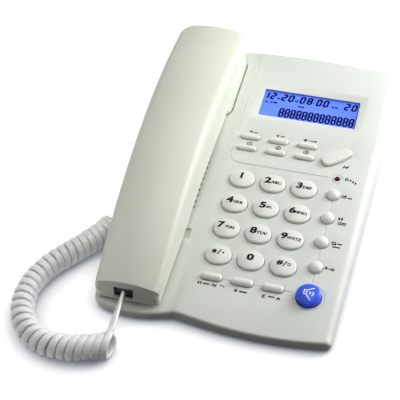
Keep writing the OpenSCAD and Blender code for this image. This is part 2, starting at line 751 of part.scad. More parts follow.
// ---------------------------------------------------------------- cord
// Lengths along the coil's route, and a smooth point at a length along it
route_at = [for (i = 0, s = 0; i < len(coil_route); i = i + 1,
    s = i < len(coil_route) ? s + norm(coil_route[i] - coil_route[i - 1]) : s) s];
route_len = route_at[len(coil_route) - 1];

function route_span(s, i = 0) =
    i >= len(coil_route) - 2 || s < route_at[i + 1] ? i : route_span(s, i + 1);

// Catmull-Rom point at u between b and c
function spline(a, b, c, d, u) = 0.5 * (2 * b + (c - a) * u
    + (2 * a - 5 * b + 4 * c - d) * u * u + (3 * b - a - 3 * c + d) * u * u * u);
function knot(i) = let (m = len(coil_route) - 1)
    i < 0 ? 2 * coil_route[0] - coil_route[1] :
    i > m ? 2 * coil_route[m] - coil_route[m - 1] : coil_route[i];
function route_point(s) = let (i = route_span(s),
    u = (s - route_at[i]) / (route_at[i + 1] - route_at[i]))
    spline(knot(i - 1), knot(i), knot(i + 1), knot(i + 2), u);
function route_heading(s) = unit(route_point(s + 0.2) - route_point(s - 0.2));

curl_turn = 360 * curls + last_curl_part;
function stretch_phase(turn) = 360 * (turn / curl_turn + 1 - stretch_at);
function route_at_turn(turn) = route_len * (turn / curl_turn
    - stretch * (sin(stretch_phase(turn)) - sin(stretch_phase(0))) / (2 * PI));
function curl_radius(turn) = curl_r + draw_in * cos(stretch_phase(turn));
function pulled(turn) = turn < pull_from || turn > pull_to ? 0 :
    pull * pow(sin(180 * (turn - pull_from) / (pull_to - pull_from)), 2);
function leaned(turn) =
    lean * pow(cos(90 * min(1, turn / curl_turn / lean_share)), 2) * sin(turn);
function curl_point(turn) = let (s = route_at_turn(turn), p = route_point(s),
    h = route_heading(s), r = curl_radius(turn), out = r * sin(turn),
    along = leaned(turn) - pulled(turn))
    [p[0] - h[1] * out + h[0] * along, p[1] + h[0] * out + h[1] * along,
        r * (1 + cos(turn)) + cord_t / 2 + 0.1];
function curl_heading(turn) = unit(curl_point(turn + 1) - curl_point(turn - 1));
function curl_axis(turn) = let (h = route_heading(route_at_turn(turn))) [h[0], h[1], 0];

// Ring of n points round p: the cord's width lies along the part of side square to heading
function cord_ring(p, heading, side, n) =
    let (across = unit(side - heading * (side * heading)), up = cross(heading, across))
    [for (i = [0:n - 1]) let (a = 360 * (i + 0.5) / n)
        p + across * cord_w / 2 * cos(a) / cos(180 / n) + up * cord_t / 2 * sin(a)];

curl_start = curl_point(0) - curl_heading(0) * cord_w;
curl_end = curl_point(curl_turn) + curl_heading(curl_turn) * cord_w;
coil_rings = concat(
    [cord_ring(curl_start, curl_heading(0), curl_axis(0), 6)],
    [for (i = [0:floor(curl_turn / 360 * rings_per_curl)])
        let (turn = i * 360 / rings_per_curl)
        cord_ring(curl_point(turn), curl_heading(turn), curl_axis(turn), 6)],
    [cord_ring(curl_end, curl_heading(curl_turn), curl_axis(curl_turn), 6)]);
module cord_coil() color(cord_white) skin(coil_rings);

// Least distance between points of neighbouring curls
coil_gap = min([for (i = [0:len(coil_rings) - 7])
    for (j = [i + 6:min(len(coil_rings) - 1, i + 10)])
        for (p = coil_rings[i]) for (q = coil_rings[j]) norm(p - q)]);
echo(least_gap_between_curls = coil_gap);

// Free stretches: points from the plug to the coil
tail_start = plug_face(handset_jack_x, handset_jack_v - held_cord, handset_jack_w);
function plug_face(x, v, w) = [x, v * cos(panel_tilt) - w * sin(panel_tilt),
    panel_mid_z + v * sin(panel_tilt) + w * cos(panel_tilt)];
tail_route = concat([tail_start, tail_start + [0, -3.4, -0.3]], [
    [-52.3, -118, 15.1], [-51.8, -124, 15.1], [-51.3, -130, 15.1], [-50.9, -135, 14.9]
], [curl_start - curl_heading(0) * 2, curl_start]);
lead_route = concat([curl_end], [[base_jack[0] - 5.1, base_jack[1] - 0.2, 6.9]],
    [base_jack - [3.4, 0, 0], base_jack]);

function route_side(i, n, from, to) = unit(from + (to - from) * i / (n - 1));
module cord_stretch(pts, first, last, side_a, side_b) {
    n = len(pts);
    skin([for (i = [0:n - 1])
        let (heading = i == 0 ? first : i == n - 1 ? last : unit(pts[i + 1] - pts[i - 1]))
        cord_ring(pts[i], heading, route_side(i, n, side_a, side_b), 8)]);
}
module cord_tail() color(cord_white)
    cord_stretch(tail_route, [0, -cos(panel_tilt), -sin(panel_tilt)], curl_heading(0),
        [0, 0, 1], -curl_axis(0));
module cord_lead() color(cord_white)
    cord_stretch(lead_route, curl_heading(curl_turn), [1, 0, 0], curl_axis(curl_turn), [0, 1, 0]);

// ---------------------------------------------------------------- keys
module key(k) color(k[1] == "talk" ? [0.2, 0.3, 0.9] : key_ivory) {
    kind = k[1];
    size = key_size(kind);
    on_panel() translate([k[2], k[3], 0]) {
        intersection() {
            translate([0, 0, key_bottom]) linear_extrude(10) key_outline(kind);
            if (kind == "bar" || kind == "pill")
                translate([-20, 0, size[2] - size[3]]) rotate([0, 90, 0])
                    union() {
                        cylinder(r = size[3], h = 40);
                        translate([0, -size[3], 0]) cube([20, 2 * size[3], 40]);
                    }
            else union() {
                translate([0, 0, size[2] - size[3]]) sphere(r = size[3], $fn = 96);
                translate([0, 0, size[2] - size[3] - 20]) cylinder(r = size[3], h = 20);
            }
        }
        translate([0, 0, key_bottom]) linear_extrude(flange_t) key_outline(kind, flange_out);
    }
}

base_upper_housing();
base_lower_housing();
display_window();
display_module();
main_circuit_board();
keypad_membrane();
loudspeaker();
in_use_lamp();
hook_plunger();
hook_switch();
base_handset_jack();
line_jack();
rubber_feet();
housing_screws();
battery_cover();
battery_cells();
battery_contacts();
handset_outer_shell();
handset_inner_shell();
earpiece_capsule();
microphone_capsule();
handset_jack();
handset_weight();
handset_screws();
cord_plug_handset();
cord_tail();
cord_coil();
cord_lead();
cord_plug_base();
for (k = KEYS) key(k);
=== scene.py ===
from math import acos, atan2, cos, pi, radians, sin, sqrt, tan

import bmesh
import bpy
from mathutils import Matrix, Vector
from mathutils.geometry import delaunay_2d_cdt


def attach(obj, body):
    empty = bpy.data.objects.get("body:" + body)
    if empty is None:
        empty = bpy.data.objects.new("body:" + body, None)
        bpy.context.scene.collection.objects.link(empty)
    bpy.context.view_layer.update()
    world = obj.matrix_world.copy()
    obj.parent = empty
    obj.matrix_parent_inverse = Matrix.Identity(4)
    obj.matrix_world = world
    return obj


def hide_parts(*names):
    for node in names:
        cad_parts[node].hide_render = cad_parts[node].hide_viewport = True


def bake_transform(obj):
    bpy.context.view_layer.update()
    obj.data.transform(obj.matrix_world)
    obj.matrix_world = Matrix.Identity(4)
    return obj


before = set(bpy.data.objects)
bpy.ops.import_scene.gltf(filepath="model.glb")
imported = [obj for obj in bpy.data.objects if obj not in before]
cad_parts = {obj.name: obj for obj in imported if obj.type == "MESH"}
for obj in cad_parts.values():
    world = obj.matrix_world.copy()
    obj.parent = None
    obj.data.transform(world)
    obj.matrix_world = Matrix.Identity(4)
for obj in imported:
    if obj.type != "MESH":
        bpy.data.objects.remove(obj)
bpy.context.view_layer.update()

# ---------------------------------------------------------------- camera
# A long lens from the front and a little to the right, looking down on the
# telephone, with the whole cord in its view.
eye = Vector((0.1089, -0.5380, 0.4810))
looks_at = Vector((-0.02918, -0.02294, 0.022))
camera_data = bpy.data.cameras.new("camera")
camera_data.lens = 100.1
camera_data.sensor_width = 36
camera = bpy.data.objects.new("camera", camera_data)
camera.location = eye
camera.rotation_euler = (looks_at - eye).to_track_quat("-Z", "Y").to_euler()
bpy.context.scene.collection.objects.link(camera)
bpy.context.scene.camera = camera

# ---------------------------------------------------------------- handset cord
# A flat four-wire cord in glossy off-white vinyl, wound into a curly coil.
# It leaves the plug in the handset's end, lies on the table, and goes into
# the jack in the base's left wall. All sizes are in mm until a point is placed.
mm = 0.001
panel_tilt, panel_mid_z = radians(10), 28.3


def on_panel(x, v, w):
    """A place given across the panel, up its slope and square to it, in mm."""
    y = v * cos(panel_tilt) - w * sin(panel_tilt)
    z = panel_mid_z + v * sin(panel_tilt) + w * cos(panel_tilt)
    return Vector((x, y, z)) * mm


def mesh_piece(name, verts, faces, material, smooth_angle=35):
    """A piece from its points and faces, smooth up to the given angle."""
    mesh = bpy.data.meshes.new(name)
    mesh.from_pydata(verts, [], faces)
    mesh.validate()
    mesh.materials.append(material)
    piece = bpy.data.objects.new(name, mesh)
    bpy.context.scene.collection.objects.link(piece)
    for polygon in mesh.polygons:
        polygon.use_smooth = True
    mesh.set_sharp_from_angle(angle=radians(smooth_angle))
    return piece


def linear(r, g, b):
    """A colour as it is seen, 0 to 255, as the shader wants it."""
    return tuple((c / 255 / 12.92) if c < 10 else ((c / 255 + 0.055) / 1.055) ** 2.4
                 for c in (r, g, b)) + (1,)


def new_material(name):
    material = bpy.data.materials.new(name)
    material.use_nodes = True
    return material, material.node_tree.nodes, material.node_tree.links


def noise(nodes, links, place, scale, detail=2):
    """A noise that is laid out by the given place."""
    pattern = nodes.new("ShaderNodeTexNoise")
    pattern.inputs["Scale"].default_value = scale
    pattern.inputs["Detail"].default_value = detail
    links.new(place, pattern.inputs["Vector"])
    return pattern.outputs["Fac"]


def ramp(nodes, links, value, low_at, low, high_at, high):
    """A colour that goes with value from low to high."""
    colours = nodes.new("ShaderNodeValToRGB")
    for stop, at, colour in zip(colours.color_ramp.elements, (low_at, high_at), (low, high)):
        stop.position = at
        stop.color = colour
    links.new(value, colours.inputs["Fac"])
    return colours.outputs["Color"]


def moulded(name, dark, light, roughness, grain=0.00002, grain_size=0.0006, gloss_coat=0.0,
            specular=0.5):
    """Moulded plastic: a fine spark-eroded grain, and a colour that drifts a little."""
    material, nodes, links = new_material(name)
    shader = nodes["Principled BSDF"]
    place = nodes.new("ShaderNodeTexCoord").outputs["Object"]
    drift = noise(nodes, links, place, 18, 3)
    fine = noise(nodes, links, place, 1 / grain_size)
    colour = ramp(nodes, links, drift, 0.3, linear(*dark), 0.7, linear(*light))
    rough = nodes.new("ShaderNodeMapRange")
    rough.inputs["To Min"].default_value = roughness - 0.04
    rough.inputs["To Max"].default_value = roughness + 0.06
    bump = nodes.new("ShaderNodeBump")
    bump.inputs["Strength"].default_value = 1
    bump.inputs["Distance"].default_value = grain
    links.new(colour, shader.inputs["Base Color"])
    links.new(fine, rough.inputs["Value"])
    links.new(rough.outputs["Result"], shader.inputs["Roughness"])
    links.new(fine, bump.inputs["Height"])
    links.new(bump.outputs["Normal"], shader.inputs["Normal"])
    shader.inputs["Specular IOR Level"].default_value = specular
    shader.inputs["Coat Weight"].default_value = gloss_coat
    shader.inputs["Coat Roughness"].default_value = 0.12
    return material


cord_vinyl = moulded("cord_vinyl", (243, 245, 242), (249, 250, 248), 0.3, grain=0.00001,
                     grain_size=0.002, gloss_coat=0.5)
vinyl_shader = cord_vinyl.node_tree.nodes["Principled BSDF"]
vinyl_shader.inputs["Subsurface Weight"].default_value = 0.5
vinyl_shader.inputs["Subsurface Radius"].default_value = (1, 1, 1)
vinyl_shader.inputs["Subsurface Scale"].default_value = 0.002
cord_width, cord_thickness, section_corners = 4.5, 2.4, 14
coil_width, coil_wire, coil_off_table = 15, 2.3, 0.1
curl_radius = (coil_width - coil_wire) / 2
curls, last_curl_part = 30, radians(215)
whole_turn = 2 * pi * curls + last_curl_part
coil_route = [
    (-51, -142.4), (-59, -145.8), (-67.8, -148.6), (-75.5, -149.8), (-84, -149.6), (-92, -147),
    (-101, -140.5), (-108, -130), (-111.2, -117), (-111, -105), (-108.2, -94.5), (-103.3, -84),
    (-96.6, -74.2), (-90.4, -64.8), (-85.1, -55.3), (-81.2, -45.2),
]
handset_jack = (-52.6, -108.2, 6.5)
base_jack = Vector((-64.5, -44, 8.4))


def spline(a, b, c, d, u):
    """A smooth point at u between b and c."""
    return 0.5 * (2 * b + (c - a) * u + (2 * a - 5 * b + 4 * c - d) * u * u
                  + (3 * b - a - 3 * c + d) * u ** 3)


def with_ends(points):
    """The points, and one more at each end, straight on from the last two."""
    points = [Vector(p) for p in points]
    return [2 * points[0] - points[1]] + points + [2 * points[-1] - points[-2]]


def smooth_through(points, steps):
    """The points of a smooth line through the given ones."""
    ends, line = with_ends(points), []
    for i in range(len(points) - 1):
        line += [spline(*ends[i:i + 4], k / steps) for k in range(steps)]
    return line + [ends[-2]]


class Route:
    """The coil's middle line on the table, walked by length."""

    def __init__(self, points):
        self.ends = with_ends(points)
        self.at = [0]
        for a, b in zip(self.ends[1:-2], self.ends[2:-1]):
            self.at.append(self.at[-1] + (b - a).length)

    def point(self, s):
        i = 0
        while i < len(self.at) - 2 and s >= self.at[i + 1]:
            i += 1
        u = (s - self.at[i]) / (self.at[i + 1] - self.at[i])
        return spline(*self.ends[i:i + 4], u)

    def heading(self, s, step=0.2):
        return (self.point(s + step) - self.point(s - step)).normalized()


route = Route(coil_route)
# The coil is stretched and drawn in near the base, its first curls lean
# towards the tail, and the far side of the first is pulled aside.
stretch_at, stretch, draw_in = 0.95, 0.13, 0.35
pull, pull_from, pull_to = 4, radians(110), radians(370)
lean, lean_share = 2.4, 0.3


def stretch_phase(turn):
    """Where a curl is in the coil's one wave of stretch."""
    return 2 * pi * (turn / whole_turn + 1 - stretch_at)


def along_route(turn):
    wave = (sin(stretch_phase(turn)) - sin(stretch_phase(0))) / (2 * pi)
    return route.at[-1] * (turn / whole_turn - stretch * wave)


def curl_point(turn):
    """The wire's middle after so much turning, from the tail's end on."""
    s = along_route(turn)
    p, h = route.point(s), route.heading(s)
    r = curl_radius + draw_in * cos(stretch_phase(turn))
    along = lean * cos(pi / 2 * min(1, turn / whole_turn / lean_share)) ** 2 * sin(turn)
    if pull_from < turn < pull_to:
        along -= pull * sin(pi * (turn - pull_from) / (pull_to - pull_from)) ** 2
    out = r * sin(turn)
    return Vector((p.x - h.y * out + h.x * along, p.y + h.x * out + h.y * along,
                   r * (1 + cos(turn)) + coil_wire / 2 + coil_off_table))


def curl_side(turn):
    """The flat wire lies with its width along the coil."""
    h = route.heading(along_route(turn))
    return Vector((h.x, h.y, 0))


steps_per_curl = 26
turns = [2 * pi * i / steps_per_curl
         for i in range(int(whole_turn / (2 * pi) * steps_per_curl) + 1)]
coil_line = [curl_point(t) for t in turns]
coil_sides = [curl_side(t) for t in turns]
first_way = (coil_line[1] - coil_line[0]).normalized()
last_way = (coil_line[-1] - coil_line[-2]).normalized()
# The straight tail to the handset's jack and the short lead to the base's jack
held_cord, curl_run, cord_steps = 3.2, 3.5, 5
jack_x, jack_v, jack_w = handset_jack
tail_start = on_panel(jack_x, jack_v - held_cord, jack_w) / mm
curl_start = coil_line[0] - first_way * curl_run
curl_end = coil_line[-1] + last_way * curl_run
tail_line = smooth_through([
    on_panel(*handset_jack) / mm, tail_start, tail_start + Vector((0, -3.4, -0.3)),
    (-52.3, -118, 15.1), (-51.8, -124, 15.1), (-51.3, -130, 15.1), (-50.9, -135, 14.9),
    curl_start - first_way * 2, curl_start, coil_line[0]], cord_steps)[:-1]
lead_line = smooth_through([
    coil_line[-1], curl_end, base_jack + Vector((-5.1, -0.2, -1.5)),
    base_jack - Vector((3.4, 0, 0)), base_jack], cord_steps)[1:]
cord_line = tail_line + coil_line + lead_line
# The way of the flat wire's width at each point: it turns along the tail and the lead
sides = []
for i in range(len(tail_line)):
    share = min(1, i / (len(tail_line) - cord_steps))
    sides.append(Vector((0, 0, 1)).slerp(-coil_sides[0], share))
sides += [-side for side in coil_sides]
for i in range(len(lead_line)):
    share = (i + 1) / len(lead_line)
    sides.append((-coil_sides[-1]).lerp(Vector((0, -1, 0)), share).normalized())


def squared(value, power):
    """A sine or cosine, with a power under 1 that fills out a circle's corners."""
    return abs(value) ** power * (1 if value > 0 else -1)


# The flat cord's outline: straight faces with well rounded edges
section = []
for i in range(section_corners):
    a = 2 * pi * (i + 0.5) / section_corners
    section.append((cord_width / 2 * squared(cos(a), 0.62),
                    cord_thickness / 2 * squared(sin(a), 0.72)))
cord_verts, cord_faces = [], []
for i, p in enumerate(cord_line):
    way = (cord_line[min(i + 1, len(cord_line) - 1)] - cord_line[max(i - 1, 0)]).normalized()
    if i == 0:
        way = Vector((0, -cos(panel_tilt), -sin(panel_tilt)))
    across = (sides[i] - way * sides[i].dot(way)).normalized()
    up = way.cross(across)
    cord_verts += [(p + across * a + up * b) * mm for a, b in section]
n = len(section)
for i in range(len(cord_line) - 1):
    for k in range(n):
        a, b = i * n + k, i * n + (k + 1) % n
        cord_faces.append((a, b, b + n, a + n))
cord_faces += [tuple(range(n - 1, -1, -1)),
               tuple(range((len(cord_line) - 1) * n, len(cord_line) * n))]
cord = mesh_piece("handset_cord", cord_verts, cord_faces, cord_vinyl, 60)
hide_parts("cord_tail", "cord_coil", "cord_lead")
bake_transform(cord)

# ---------------------------------------------------------------- base, upper housing
# The top shell of the base: one moulding in pearl ivory plastic with the key
# panel, the display's sunk bezel, the loudspeaker slots and the handset's two
# wells. Four screws from below hold it to the lower housing.
ivory_shell = moulded("ivory_shell", (214, 220, 210), (219, 224, 215), 0.43, specular=0.25)
skirt, skin = 5.2, 2.2
base_plan = [
    (-72.3, -109, 8), (-47, -115.7, 55), (-22.6, -108.4, 3), (27, -116.3, 228),
    (71.2, -109.8, 4), (75.2, 50, 500), (74.8, 112.4, 9), (20, 115.1, 300),
    (-70, 111.8, 8), (-70, -62, 60),
]


def corner(a, p, b, r, steps):
    """The arc of radius r that rounds the corner at p between a and b."""
    u, w = (a - p).normalized(), (b - p).normalized()
    half = acos(max(-1, min(1, u.dot(w)))) / 2
    c = p + (u + w).normalized() * r / sin(half)
    s, e = p + u * r / tan(half) - c, p + w * r / tan(half) - c
    start = atan2(s.y, s.x)
    sweep = (atan2(e.y, e.x) - start + pi) % (2 * pi) - pi
    return [c + r * Vector((cos(start + sweep * i / steps), sin(start + sweep * i / steps)))
            for i in range(steps + 1)]


def rounded(corners, steps=8):
    """A closed outline with each corner rounded by its own radius."""
    flat = [Vector(c[:2]) for c in corners]
    outline = []
    for i, c in enumerate(corners):
        outline += corner(flat[i - 1], flat[i], flat[(i + 1) % len(flat)], c[2], steps)
    return outline


def refined(outline, longest):
    """The same closed outline with its long sides divided."""
    fine = []
    for a, b in zip(outline, outline[1:] + outline[:1]):
        parts = max(1, int((b - a).length / longest + 0.999))
        fine += [a.lerp(b, i / parts) for i in range(parts)]
    return fine


def outward(outline):
    """The outward direction at each point of a counterclockwise outline."""
    ways = []
    for i, p in enumerate(outline):
        d = outline[(i + 1) % len(outline)] - outline[i - 1]
        ways.append(Vector((d.y, -d.x)).normalized())
    return ways


def within(p, outline):
    """Whether p lies inside a closed outline."""
    inside = False
    for a, b in zip(outline, outline[1:] + outline[:1]):
        if (a.y > p.y) != (b.y > p.y) and p.x < a.x + (p.y - a.y) * (b.x - a.x) / (b.y - a.y):
            inside = not inside
    return inside


class Moulding:
    """Collects the rings and skins of one moulded piece."""

    def __init__(self):
        self.verts, self.faces = [], []

    def ring(self, points):
        """Adds the points, and gives their numbers."""
        start = len(self.verts)
        self.verts += [Vector(p) for p in points]
        return list(range(start, len(self.verts)))

    def walls(self, rings):
        """Faces from each ring to the next one up; they face out."""
        for low, high in zip(rings, rings[1:]):
            for i in range(len(low)):
                k = (i + 1) % len(low)
                self.faces.append((low[i], low[k], high[k], high[i]))

    def sheet(self, outer, holes, flat, place, lines=(), face_up=True):
        """Fills the ring outer around the rings in holes.

        flat gives a ring point's place on the flat sheet, and place puts a
        new point of the sheet into space. The sheet can bend along lines."""
        points, edges, owner = [], [], []
        for loop in [outer] + list(holes):
            start = len(points)
            points += [flat(i) for i in loop]
            owner += list(loop)
            edges += [(start + i, start + (i + 1) % len(loop)) for i in range(len(loop))]
        for line in lines:
            start = len(points)
            points += line
            owner += [None] * len(line)
            edges += [(start + i, start + i + 1) for i in range(len(line) - 1)]
        out, _, faces, origins, _, _ = delaunay_2d_cdt(
            [Vector(p) for p in points], edges, [], 1, 1e-5)
        gaps = []
        for loop in holes:
            gap = [Vector(flat(i)) for i in loop]
            gaps.append((gap, min(q.x for q in gap), max(q.x for q in gap),
                         min(q.y for q in gap), max(q.y for q in gap)))
        index = {}
        for k, p in enumerate(out):
            known = [owner[o] for o in origins[k] if o < len(owner) and owner[o] is not None]
            if known:
                index[k] = known[0]
            else:
                index[k] = len(self.verts)
                self.verts.append(Vector(place(p.x, p.y)))
        for face in faces:
            middle = sum((out[k] for k in face), Vector((0, 0))) / len(face)
            if any(x0 < middle.x < x1 and y0 < middle.y < y1 and within(middle, gap)
                   for gap, x0, x1, y0, y1 in gaps):
                continue
            ids = [index[k] for k in face]
            area = sum(out[face[i - 1]].x * out[face[i]].y - out[face[i]].x * out[face[i - 1]].y
                       for i in range(len(face)))
            if (area > 0) != face_up:
                ids.reverse()
            self.faces.append(tuple(ids))

    def piece(self, name, material, smooth_angle=35):
        return mesh_piece(name, self.verts, self.faces, material, smooth_angle)


def stadium(w, d, steps=12):
    """A pill outline, counterclockwise, round at its two shorter ends."""
    r = min(w, d) / 2
    x, y = w / 2 - r, d / 2 - r
    return [Vector((x * (1 if cos(a) > 0 else -1) + r * cos(a),
                    y * (1 if sin(a) > 0 else -1) + r * sin(a)))
            for a in (pi * (i + 0.5) / (2 * steps) - pi / 2 for i in range(4 * steps))]


def box_outline(left, front, right, back, r, steps=6):
    return rounded([(left, front, r), (right, front, r), (right, back, r), (left, back, r)], steps)


def middle_box(w, d, r, steps=6):
    return box_outline(-w / 2, -d / 2, w / 2, d / 2, r, steps)


leaf_angle = radians(38.5)


def leaf(length, width, grow):
    """A leaf outline, its left end the rounder one, turned across the panel."""
    a, b = length / 2, width / 2
    outline = rounded([(-a, -0.75 * b, 3.6), (0, -b, 36), (a, -0.55 * b, 2.6),
                       (a, 0.45 * b, 2.4), (0, b, 30), (-a, 0.67 * b, 3.6)], 6)
    turn = Matrix.Rotation(leaf_angle, 2)
    outline = refined([turn @ p for p in outline], 1.2)
    return [p + way * grow for p, way in zip(outline, outward(outline))]


# Where each key's middle is, across the panel and up it
key_gap, side_x = 0.35, 52.2
dial_x, dial_v, dial_pitch_x, dial_pitch_v = -6.7, -3, 20, 20.65
menu_x, menu_v, menu_pitch_x, menu_pitch_v = -9.8, 33.6, 19, 10
line_x, line_v, line_pitch = -6.6, -81.6, 18.6
side_v, side_pitch, lamp_v, talk_v = -3.5, 19.2, 10.5, -82.9
key_kinds = {"dial": (16.2, 14), "bar": (12.8, 4), "pill": (13.1, 5), "dot": (8.3, 8.3),
             "leaf": (20.6, 10.6), "talk": (14.9, 14.9)}
dial_names = [["key_1", "key_2", "key_3"], ["key_4", "key_5", "key_6"],
              ["key_7", "key_8", "key_9"], ["key_star", "key_0", "key_hash"]]
keys = [(dial_names[row][col], "dial", dial_x + col * dial_pitch_x, dial_v - row * dial_pitch_v)
        for row in range(4) for col in range(3)]
keys += [(f"key_menu_{row * 3 + col + 1}", "bar", menu_x + col * menu_pitch_x,
          menu_v - row * menu_pitch_v) for row in range(2) for col in range(3)]
keys += [(name, "pill", line_x + col * line_pitch, line_v)
         for col, name in enumerate(("key_hold", "key_flash", "key_redial"))]
keys += [(f"key_side_{row + 1}", "dot", side_x, side_v - row * side_pitch) for row in range(4)]
keys += [("key_leaf", "leaf", 48.5, 27.8), ("key_speaker", "talk", side_x, talk_v)]


def key_outline(kind, grow=0):
    w, d = key_kinds[kind]
    if kind == "leaf":
        return leaf(w, d, grow)
    return stadium(w + 2 * grow, d + 2 * grow, 14 if kind in ("dial", "talk") else 8)


display_x, display_v, display_w, display_d = 22.6, 69.3, 66.3, 25.7
bezel_drop, bezel_bend = 1.6, 1.35
bezel_left, bezel_right, bezel_front, bezel_back = 5.5, 5, 5, 5.5
tray_drop, tray_edge, tray_slope = 0.9, -19, 8


def arc(cx, cy, r, start, end, steps):
    return [(cx + r * cos(radians(start + (end - start) * i / steps)),
             cy + r * sin(radians(start + (end - start) * i / steps))) for i in range(steps + 1)]


def straight(a, b, longest=2.5):
    """A straight line in short lengths."""
    a, b = Vector(a), Vector(b)
    parts = max(1, int((b - a).length / longest + 0.999))
    return [tuple(a.lerp(b, i / parts)) for i in range(parts + 1)]


# Fine grooves: one round the display's field, one from side key to side key, one
# from long key to long key, and a ring each round the lamp and the blue key
groove_half, groove_depth = 0.45, 0.45
field_x, field_v, field_r = -19.6, 10.6, 8
grooves = [straight((field_x, 108), (field_x, field_v + field_r))
           + arc(field_x + field_r, field_v + field_r, field_r, 180, 270, 8)[1:]
           + straight((field_x + field_r, field_v), (side_x - 4.3, field_v))[1:]]
for high, low in ((6.2, 1.4), (-8.4, -17.8), (-27.6, -37), (-46.8, -56.2), (-66, -72.2)):
    grooves.append(straight((side_x, high), (side_x, low)))
for left, right in ((0.7, 4.7), (19.3, 23.3), (37.9, 42.3)):
    grooves.append(straight((left, line_v), (right, line_v)))
grooves += [arc(side_x, lamp_v, 3.5, 0, 360, 28), arc(side_x, talk_v, 9.2, 0, 360, 56)]
grooves = [[Vector(p) for p in path] for path in grooves]


def from_segment(p, a, b):
    """How far p is from the straight line between a and b."""
    d = b - a
    t = max(0, min(1, (p - a).dot(d) / d.length_squared))
    return (p - a - d * t).length


def groove_sink(p):
    nearest = min(from_segment(p, a, b) for path in grooves for a, b in zip(path, path[1:]))
    return -groove_depth * max(0, 1 - nearest / groove_half)


def smooth_step(t):
    t = max(0, min(1, t))
    return t * t * (3 - 2 * t)


def bezel_sink(x, v):
    """The sunk frame round the display: four slopes that meet at the corners."""
    dx, dv = x - display_x, v - display_v
    across = (abs(dx) - display_w / 2) / (bezel_left if dx < 0 else bezel_right)
    along = (abs(dv) - display_d / 2) / (bezel_front if dv < 0 else bezel_back)
    t = max(0, min(1, max(across, along)))
    return -bezel_drop * (1 - t) ** bezel_bend


def tray_sink(x):
    """The handset's side of the panel lies a little lower than the keys' side."""
    return -tray_drop * smooth_step((tray_edge - x) / tray_slope)


def panel_height(x, v):
    return bezel_sink(x, v) + tray_sink(x)


def panel_place(x, v):
    return on_panel(x, v, panel_height(x, v) + groove_sink(Vector((x, v))))


# The rim runs round the base's plan; its rounding differs from side to side
upper = Moulding()
rim = refined(rounded(base_plan, 10), 4)
rim_ways = outward(rim)
rim_right, rim_left, rim_back, rim_front = 5, 3, 2.2, 1.3
rim_r = [rim_right * max(0, way.x) ** 2 + rim_left * min(0, way.x) ** 2
         + rim_back * max(0, way.y) ** 2 + rim_front * min(0, way.y) ** 2 for way in rim_ways]


def rim_ring(angle):
    """The top shell's rounded edge: 0 is its upright wall, 90 its panel."""
    c, s = cos(radians(angle)), sin(radians(angle))
    points = []
    for p, way, r in zip(rim, rim_ways, rim_r):
        q = p - way * r * (1 - c)
        v = q.y / cos(panel_tilt)
        top = on_panel(q.x, v, 0) + on_panel(0, 0, panel_height(q.x, v)) - on_panel(0, 0, 0)
        points.append(Vector((q.x * mm, q.y * mm, top.z - r * (1 - s) * mm)))
    return points


def seam_ring(inset, above=0):
    """A ring level with the seam between the two housings."""
    seam_z = panel_mid_z - skirt / cos(panel_tilt)
    return [Vector((q.x, q.y, seam_z + q.y * tan(panel_tilt) + above)) * mm
            for q in (p - way * inset for p, way in zip(rim, rim_ways))]


under_ring = upper.ring([on_panel(q.x, q.y / cos(panel_tilt), -skin)
                         for q in (p - way * skin for p, way in zip(rim, rim_ways))])
rim_rings = [upper.ring(seam_ring(inset, above))
             for inset, above in ((skin, 0), (0.35, 0), (0.1, 0.1), (0, 0.25))]
rim_rings += [upper.ring(rim_ring(angle)) for angle in range(0, 91, 15)]
upper.walls([under_ring] + rim_rings)
# Every opening in the panel leaves a ring on top and one underneath
top_holes, under_holes = [], []


def hole(outline, place_x, place_v, edge):
    """A hole with a rounded rim, through the panel."""
    ways = outward(outline)
    loops = []
    for angle in (90, 60, 30, 0):
        c, s = cos(radians(angle)), sin(radians(angle))
        loop = []
        for p, way in zip(outline, ways):
            q = p + way * edge * (1 - c)
            x, v = q.x + place_x, q.y + place_v
            loop.append(on_panel(x, v, panel_height(x, v) - edge * (1 - s)))
        loops.append(upper.ring(loop))
    loops.append(upper.ring([on_panel(p.x + place_x, p.y + place_v, -skin) for p in outline]))
    upper.walls(loops)
    top_holes.append(loops[0])
    under_holes.append(loops[-1])


slot_count, slot_w, slot_d, slot_x, slot_v, slot_pitch = 10, 30.8, 1.4, -46.1, 11.9, 4.78
lamp_hole_r, window_inset, window_r = 1.8, 0.5, 0.8
key_hole_edge, slot_edge, window_edge = 0.3, 0.2, 0.25
for name, kind, x, v in keys:
    hole(key_outline(kind, key_gap), x, v, key_hole_edge)
for i in range(slot_count):
    hole(stadium(slot_w, slot_d, 5), slot_x, slot_v - slot_pitch * i, slot_edge)
lamp_hole = [Vector((cos(pi * i / 12), sin(pi * i / 12))) * lamp_hole_r for i in range(24)]
hole(lamp_hole, side_x, lamp_v, key_hole_edge)
hole(middle_box(display_w - 2 * window_inset, display_d - 2 * window_inset, window_r),
     display_x, display_v, window_edge)
# A shallow blind recess between the slots and the handset's front end
recess_w, recess_d, recess_r, recess_at = 17.2, 7.4, 1.2, Vector((-36.5, -52))
recess_inside = ((0.5, 0), (0.22, -0.06), (0.05, -0.25), (0, -0.6), (-0.1, -1), (-0.4, -1.2))
recess = refined(middle_box(recess_w, recess_d, recess_r, 4), 3)
recess_rings = []
for out, w in recess_inside:
    points = [p + way * out + recess_at for p, way in zip(recess, outward(recess))]
    recess_rings.append(upper.ring([on_panel(p.x, p.y, w + panel_height(*p)) for p in points]))
upper.walls(recess_rings)
upper.faces.append(tuple(recess_rings[-1]))
top_holes.append(recess_rings[0])


def panel_flat(i):
    """A point's place across and up the panel, in mm."""
    p = upper.verts[i] / mm
    z = p.z - panel_mid_z
    return Vector((p.x, p.y * cos(panel_tilt) + z * sin(panel_tilt)))


well_r, well_depth, well_floor, well_level = 8, 4, 1.4, -3
well_bottom = -well_depth - well_floor
